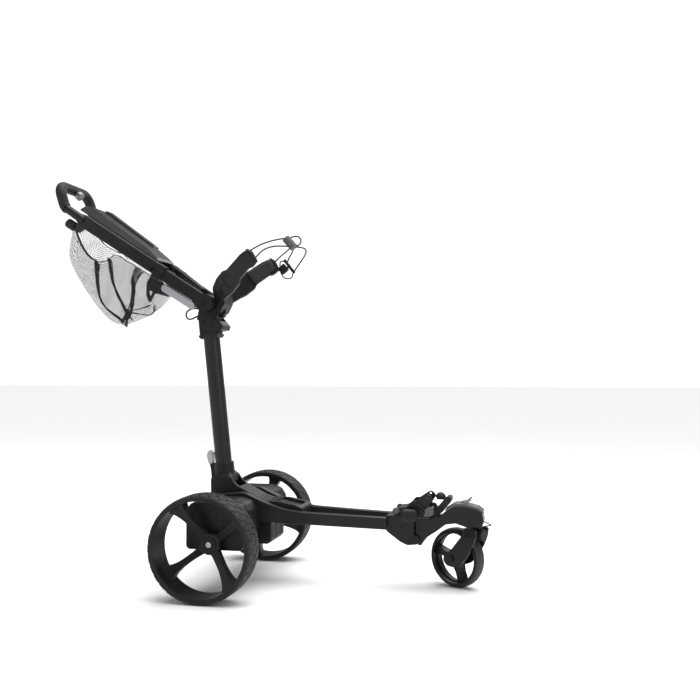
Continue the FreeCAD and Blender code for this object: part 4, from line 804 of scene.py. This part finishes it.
# ------------------------------------------------------------------ net pocket
@dataclass
class NetPocket:
    """Net pocket hung between the handle rails; every pair is (reach, height) on the handle."""

    half_width: float = 0.0570
    slim: float = 0.0350
    rows: int = 150
    columns: int = 72
    pleats: float = 17.0
    pleat_depth: float = 0.0016
    near_r: float = 0.0034
    far_r: float = 0.0014
    strands: int = 18
    spread: float = 0.0085
    strand_r: float = 0.0011
    proud: float = 0.0008
    keel: Sequence[tuple[float, float]] = (
        (0.485, -0.027), (0.470, -0.090), (0.446, -0.130), (0.370, -0.168), (0.288, -0.201),
        (0.214, -0.214), (0.178, -0.172), (0.148, -0.130), (0.131, -0.085), (0.129, -0.048))
    near_rim: Sequence[tuple[float, float]] = (
        (0.480, -0.020), (0.456, -0.040), (0.415, -0.066), (0.381, -0.078), (0.346, -0.076),
        (0.322, -0.052), (0.318, -0.026), (0.260, -0.025), (0.180, -0.027), (0.131, -0.040))
    far_rim: Sequence[tuple[float, float]] = (
        (0.480, -0.020), (0.440, -0.036), (0.400, -0.041), (0.350, -0.032), (0.320, -0.024),
        (0.260, -0.023), (0.180, -0.027), (0.131, -0.040))
    gathers: Sequence[tuple[tuple[float, float], ...]] = (
        ((0.354, -0.076), (0.317, -0.132), (0.290, -0.168), (0.252, -0.183), (0.205, -0.186)),
        ((0.318, -0.050), (0.294, -0.086), (0.258, -0.116), (0.231, -0.136), (0.190, -0.168)),
        ((0.229, -0.028), (0.233, -0.052), (0.217, -0.091), (0.192, -0.148), (0.200, -0.196)))
    draw_cords: Sequence[tuple[tuple[float, float], ...]] = (
        ((0.187, -0.149), (0.150, -0.136), (0.138, -0.118), (0.140, -0.093)),
        ((0.200, -0.150), (0.173, -0.130), (0.150, -0.101)))

    def width(self, s: np.ndarray) -> np.ndarray:
        """Half the pocket's width at a reach: it narrows towards the hinge."""
        return self.slim + (self.half_width - self.slim) * smooth_step(0.200, 0.262, s)

    def surface(self) -> np.ndarray:
        """The hanging sheet as a grid of (reach, y, height).

        Along the keel u goes from the rear bar round under the bag to the front; across, v goes
        from the near rim at -1 by the keel at 0 to the far rim at 1.  With t = |v| * pi / 2 a
        place is keel + (rim - keel) * (1 - cos t), and y is the width times sin(t) to the power
        0.45, so the walls stand nearly upright on a rounded floor.  Pleats run down from the
        rims, fading towards the keel.

        Returns:
            A (rows, columns, 3) array.
        """
        keel = even(self.keel, self.rows)[:, None, :]
        near = even(self.near_rim, self.rows)[:, None, :]
        far = even(self.far_rim, self.rows)[:, None, :]
        u = np.linspace(0.0, 1.0, self.rows)[:, None]
        v = np.linspace(-1.0, 1.0, self.columns)[None, :]
        t = np.abs(v) * math.pi / 2.0
        rim = np.where((v < 0.0)[..., None], near, far)
        rise = (1.0 - np.cos(t))[..., None]
        place = keel + (rim - keel) * rise
        fold = np.sin(2.0 * math.pi * (self.pleats * u + 0.35 * np.sin(9.0 * u + 2.0 * v)))
        fold = fold * rise[..., 0] * (1.0 - 0.6 * rise[..., 0]) * np.sin(math.pi * u)
        out = np.sin(t) ** 0.45 * self.width(place[..., 0]) - self.pleat_depth * (fold + 1.0)
        y = np.sign(v) * out
        return np.stack([place[..., 0], y, place[..., 1] + 0.0012 * fold], axis=-1)

    def on_wall(self, grid: np.ndarray, route: np.ndarray) -> np.ndarray:
        """The near wall's places closest to a route of (reach, height) pairs.

        Args:
            grid: the sheet in handle coordinates.
            route: (n, 2) pairs.

        Returns:
            (n, 3) places in the frame, just outside the sheet.
        """
        wall = grid[:, : self.columns // 2].reshape(-1, 3)
        gap = np.linalg.norm(wall[None, :, ::2] - route[:, None, :], axis=-1)
        found = wall[np.argmin(gap, axis=1), 1]
        soft = np.convolve(np.pad(found, 2, mode="edge"), np.ones(5) / 5.0, "valid")
        return HANDLE.at(route[:, 0], soft - self.proud, route[:, 1])

    def bundle(self, name: str, grid: np.ndarray, route: Sequence[tuple[float, float]], strands: int,
               spread: float, thick: float, seed: int) -> bpy.types.Object:
        """Net drawn together: several strands that wander about one route.

        Args:
            name: the piece's name.
            grid: the sheet in handle coordinates.
            route: control pairs of the route.
            strands: how many strands.
            spread: how far a strand may stray from the route.
            thick: a strand's radius.
            seed: fixes the wandering.

        Returns:
            All strands in one piece.
        """
        random = np.random.default_rng(seed)
        middle = even(route, 44)
        t = np.linspace(0.0, 1.0, len(middle))
        parts = []
        for strand in range(strands):
            phase, beat, lean = random.uniform(0.0, 1.0, 3)
            swing = np.sin(2.0 * math.pi * (t * (1.2 + 1.6 * beat) + phase))
            wander = spread * (lean * 2.0 - 1.0 + 0.5 * swing)
            flare = 0.45 + 0.55 * np.abs(2.0 * t - 1.0)
            offset = np.stack([wander, 0.35 * wander[::-1]], axis=1) * flare[:, None]
            line = self.on_wall(grid, middle + offset)
            line[:, 1] -= 0.0006 * strand / strands
            parts.append(tube_along("%s_%d" % (name, strand), line, thick, 6))
        made = join(name, parts)
        # Near-black: painted shade of the net's folds for the gathers, the cords' own dark colour for the draw
        # cords.
        dress(made, FOLD_SHADE_AND_DARK_CORD)
        return made

    def build(self) -> bpy.types.Object:
        """Make the net, its bound rims and its gathers.

        Returns:
            The sheet piece.
        """
        grid = self.surface()
        places = HANDLE.at(grid[..., 0], grid[..., 1], grid[..., 2])
        along = np.linalg.norm(np.diff(places[:, self.columns // 2], axis=0), axis=1).sum()
        girth = np.linalg.norm(np.diff(places, axis=1), axis=2).sum(axis=1)
        u, v = np.meshgrid(np.linspace(0.0, along, self.rows), np.linspace(0.0, 1.0, self.columns),
                           indexing="ij")
        uv = np.stack([u, v * girth[:, None]], axis=-1).reshape(-1, 2)
        net = piece_from("net_sheet", places.reshape(-1, 3), quads(self.rows, self.columns, False, False),
                         uv, sharp=None)
        dress(net, NET)
        pieces = []
        thinning = 1.0 - 0.62 * smooth_step(0.28, 0.40, np.linspace(0.0, 1.0, self.rows))
        for name, column, thick in (("near_binding", 0, self.near_r), ("far_binding", -1, self.far_r)):
            rim = tube_along(name, places[::2, column], thick * thinning[::2], 10)
            dress(rim, ELASTIC)
            pieces.append(rim)
        for index, route in enumerate(self.gathers):
            pieces.append(self.bundle("gather_%d" % index, grid, route, self.strands, self.spread,
                                      self.strand_r, 11 + index))
        for index, route in enumerate(self.draw_cords):
            pieces.append(self.bundle("draw_cord_%d" % index, grid, route, 3, 0.0014, 0.0010, 31 + index))
        for piece in pieces:
            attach(piece, "handle")
        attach(net, "handle")
        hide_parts("net_bag")
        return net


# ------------------------------------------------------------------ pads
@dataclass
class Pad:
    """A rubbery pad swollen out of its CAD block by a short cloth simulation."""

    node: str
    body: str
    slot: str
    finish: Finish
    voxel: float = 0.0030
    pressure: float = 4.0
    cap: float = 0.0012
    fill: float = 0.8
    steps: int = 20

    def build(self) -> bpy.types.Object:
        """Remesh the block, swell it, hold each point within the cap and smooth it.

        Returns:
            The pad piece.
        """
        source = frame["nodes"][self.node]
        mesh = source.data.copy()
        made = bpy.data.objects.new(self.node + "_soft", mesh)
        bpy.context.scene.collection.objects.link(made)
        made.matrix_world = source.matrix_world
        remesh = made.modifiers.new("even", "REMESH")
        remesh.mode = "VOXEL"
        remesh.voxel_size = self.voxel
        self.freeze(made)
        rest = coordinates(made.data)
        cloth = made.modifiers.new("swell", "CLOTH")
        cloth.settings.use_pressure = True
        cloth.settings.uniform_pressure_force = self.pressure
        cloth.settings.effector_weights.gravity = 0.0
        cloth.settings.quality = 4
        scene = bpy.context.scene
        for step in range(1, self.steps + 1):
            scene.frame_set(step)
        self.freeze(made)
        scene.frame_set(1)
        moved = coordinates(made.data) - rest
        far = np.linalg.norm(moved, axis=1, keepdims=True)
        held = rest + moved * np.minimum(1.0, self.cap / np.maximum(far, 1e-9))
        made.data.vertices.foreach_set("co", held.astype(np.float32).ravel())
        made.data.update()
        soft = made.modifiers.new("soft", "SMOOTH")
        soft.iterations = 4
        soft.factor = 0.5
        fine = made.modifiers.new("fine", "SUBSURF")
        fine.levels = 1
        fine.render_levels = 1
        made.data.polygons.foreach_set("use_smooth", np.ones(len(made.data.polygons), bool))
        dress(made, self.finish)
        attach(made, self.body)
        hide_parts(self.node)
        return made

    @staticmethod
    def freeze(made: bpy.types.Object) -> None:
        """Swap the piece's mesh for what its modifiers give, and drop them."""
        graph = bpy.context.evaluated_depsgraph_get()
        mesh = bpy.data.meshes.new_from_object(made.evaluated_get(graph))
        made.modifiers.clear()
        made.data = mesh


def coordinates(mesh: bpy.types.Mesh) -> np.ndarray:
    """A mesh's points as an (n, 3) array."""
    flat = np.empty(len(mesh.vertices) * 3, np.float32)
    mesh.vertices.foreach_get("co", flat)
    return flat.reshape(-1, 3).astype(float)


PADS = (
    Pad("cradle_pads", "chassis", "grip_rubber", GRIP),
    Pad("arm_pads", "mast", "pad_rubber", PAD, voxel=0.0025, cap=0.0008),
    Pad("stowage_pad", "handle", "grip_rubber", GRIP, voxel=0.0025, cap=0.0010),
)


# ------------------------------------------------------------------ studio
MIDDLE = (0.1, 0.0, 0.5)
SOFTBOXES = (
    ("top_softbox", (0.3, 0.2, 3.2), 2.6, 55.0),
    ("left_softbox", (-2.6, -2.2, 2.0), 1.8, 26.0),
    ("front_softbox", (2.8, -1.6, 1.6), 1.8, 22.0),
    ("back_softbox", (0.6, 3.0, 2.2), 2.0, 26.0),
)


@dataclass
class Studio:
    """Pale floor, soft lights and the camera."""

    eye: tuple[float, float, float] = (0.8572, -2.3501, 0.5970)
    azimuth: float = 11.992
    elevation: float = -1.403
    lens: float = 43.89
    shift: float = -0.0143
    backdrop: float = 1.2
    floor_half: float = 30.0
    fill: float = 0.26
    ceiling: float = 2.45

    def camera(self) -> None:
        """Place the camera level with the mast, turned a little to the cart's front."""
        data = bpy.data.cameras.new("studio_camera")
        data.lens = self.lens
        data.sensor_width = 36.0
        data.shift_x = self.shift
        data.clip_end = 60.0
        made = bpy.data.objects.new("studio_camera", data)
        bpy.context.scene.collection.objects.link(made)
        a = math.radians(self.azimuth)
        e = math.radians(self.elevation)
        back = Vector((math.sin(a) * math.cos(e), -math.cos(a) * math.cos(e), math.sin(e)))
        made.location = AXLE.at(*self.eye)
        made.rotation_mode = "QUATERNION"
        made.rotation_quaternion = (-back).to_track_quat("-Z", "Y")
        bpy.context.scene.camera = made

    def lamp(self, name: str, place: Sequence[float], size: float, power: float) -> None:
        """Add one square soft light that looks at the cart's middle."""
        data = bpy.data.lights.new(name, "AREA")
        data.shape = "SQUARE"
        data.size = size
        data.energy = power
        made = bpy.data.objects.new(name, data)
        bpy.context.scene.collection.objects.link(made)
        made.location = place
        made.rotation_mode = "QUATERNION"
        made.rotation_quaternion = (Vector(MIDDLE) - Vector(place)).to_track_quat("-Z", "Y")

    def sky(self) -> None:
        """White behind the cart, and a dimmer white all round it as fill light."""
        world = bpy.data.worlds.new("studio_sky")
        world.use_nodes = True
        tree = world.node_tree
        backdrop = tree.nodes["Background"]
        backdrop.inputs["Color"].default_value = (1.0, 1.0, 1.0, 1.0)
        seen = Term(tree, tree.nodes.new("ShaderNodeLightPath").outputs["Is Camera Ray"])
        plug(tree, backdrop.inputs["Strength"], seen * (self.backdrop - self.fill) + self.fill)
        bpy.context.scene.world = world

    def sun(self) -> None:
        """One very wide overhead light that keeps the whole floor white, with soft shadows."""
        data = bpy.data.lights.new("ceiling", "SUN")
        data.energy = self.ceiling
        data.angle = math.radians(70.0)
        made = bpy.data.objects.new("ceiling", data)
        bpy.context.scene.collection.objects.link(made)
        made.rotation_euler = (math.radians(-6.0), math.radians(8.0), 0.0)

    def build(self) -> None:
        """Set the camera, floor, sky and lights."""
        self.camera()
        self.sky()
        bpy.context.scene.view_settings.view_transform = "Standard"
        unit = np.array([(-1.0, -1.0, 0.0), (1.0, -1.0, 0.0), (1.0, 1.0, 0.0), (-1.0, 1.0, 0.0)])
        corners = self.floor_half * unit
        floor = piece_from("studio_floor", corners, np.array([[0, 1, 2, 3]]), sharp=None)
        paint = Shader("floor_paint")
        grey = paint.noise(paint.place(), 1.5, 2.0).ramp(0.0, 1.0)
        paint.set(Base_Color=paint.blend(grey, (0.90, 0.90, 0.90), (0.92, 0.92, 0.92)), Roughness=0.9,
                  Specular_IOR_Level=0.1)
        floor.data.materials.append(paint.material)
        self.sun()
        for name, place, size, power in SOFTBOXES:
            self.lamp(name, place, size, power)


def dress_frame() -> None:
    """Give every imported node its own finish, or else the finish of its slot."""
    for row in frame["record"]["subparts"]:
        node = frame["nodes"][row["node"]]
        dress(node, NODE_FINISH.get(row["node"], SLOT_FINISH[row["material_slot"]]))


def main() -> None:
    """Build the classes in order and report each piece."""
    logging.basicConfig(level=logging.INFO, format="%(name)s: %(message)s")
    Studio().build()
    dress_frame()
    makers = [RearTyre("tyre_l", "wheel_left"), RearTyre("tyre_r", "wheel_right"), FrontTyre()]
    makers.extend(CORDS)
    makers.extend(PADS)
    makers.append(NetPocket())
    for maker in makers:
        made = maker.build()
        LOG.info("%s: %d faces", made.name, len(getattr(made.data, "polygons", [])))


if __name__ == "__main__":
    main()
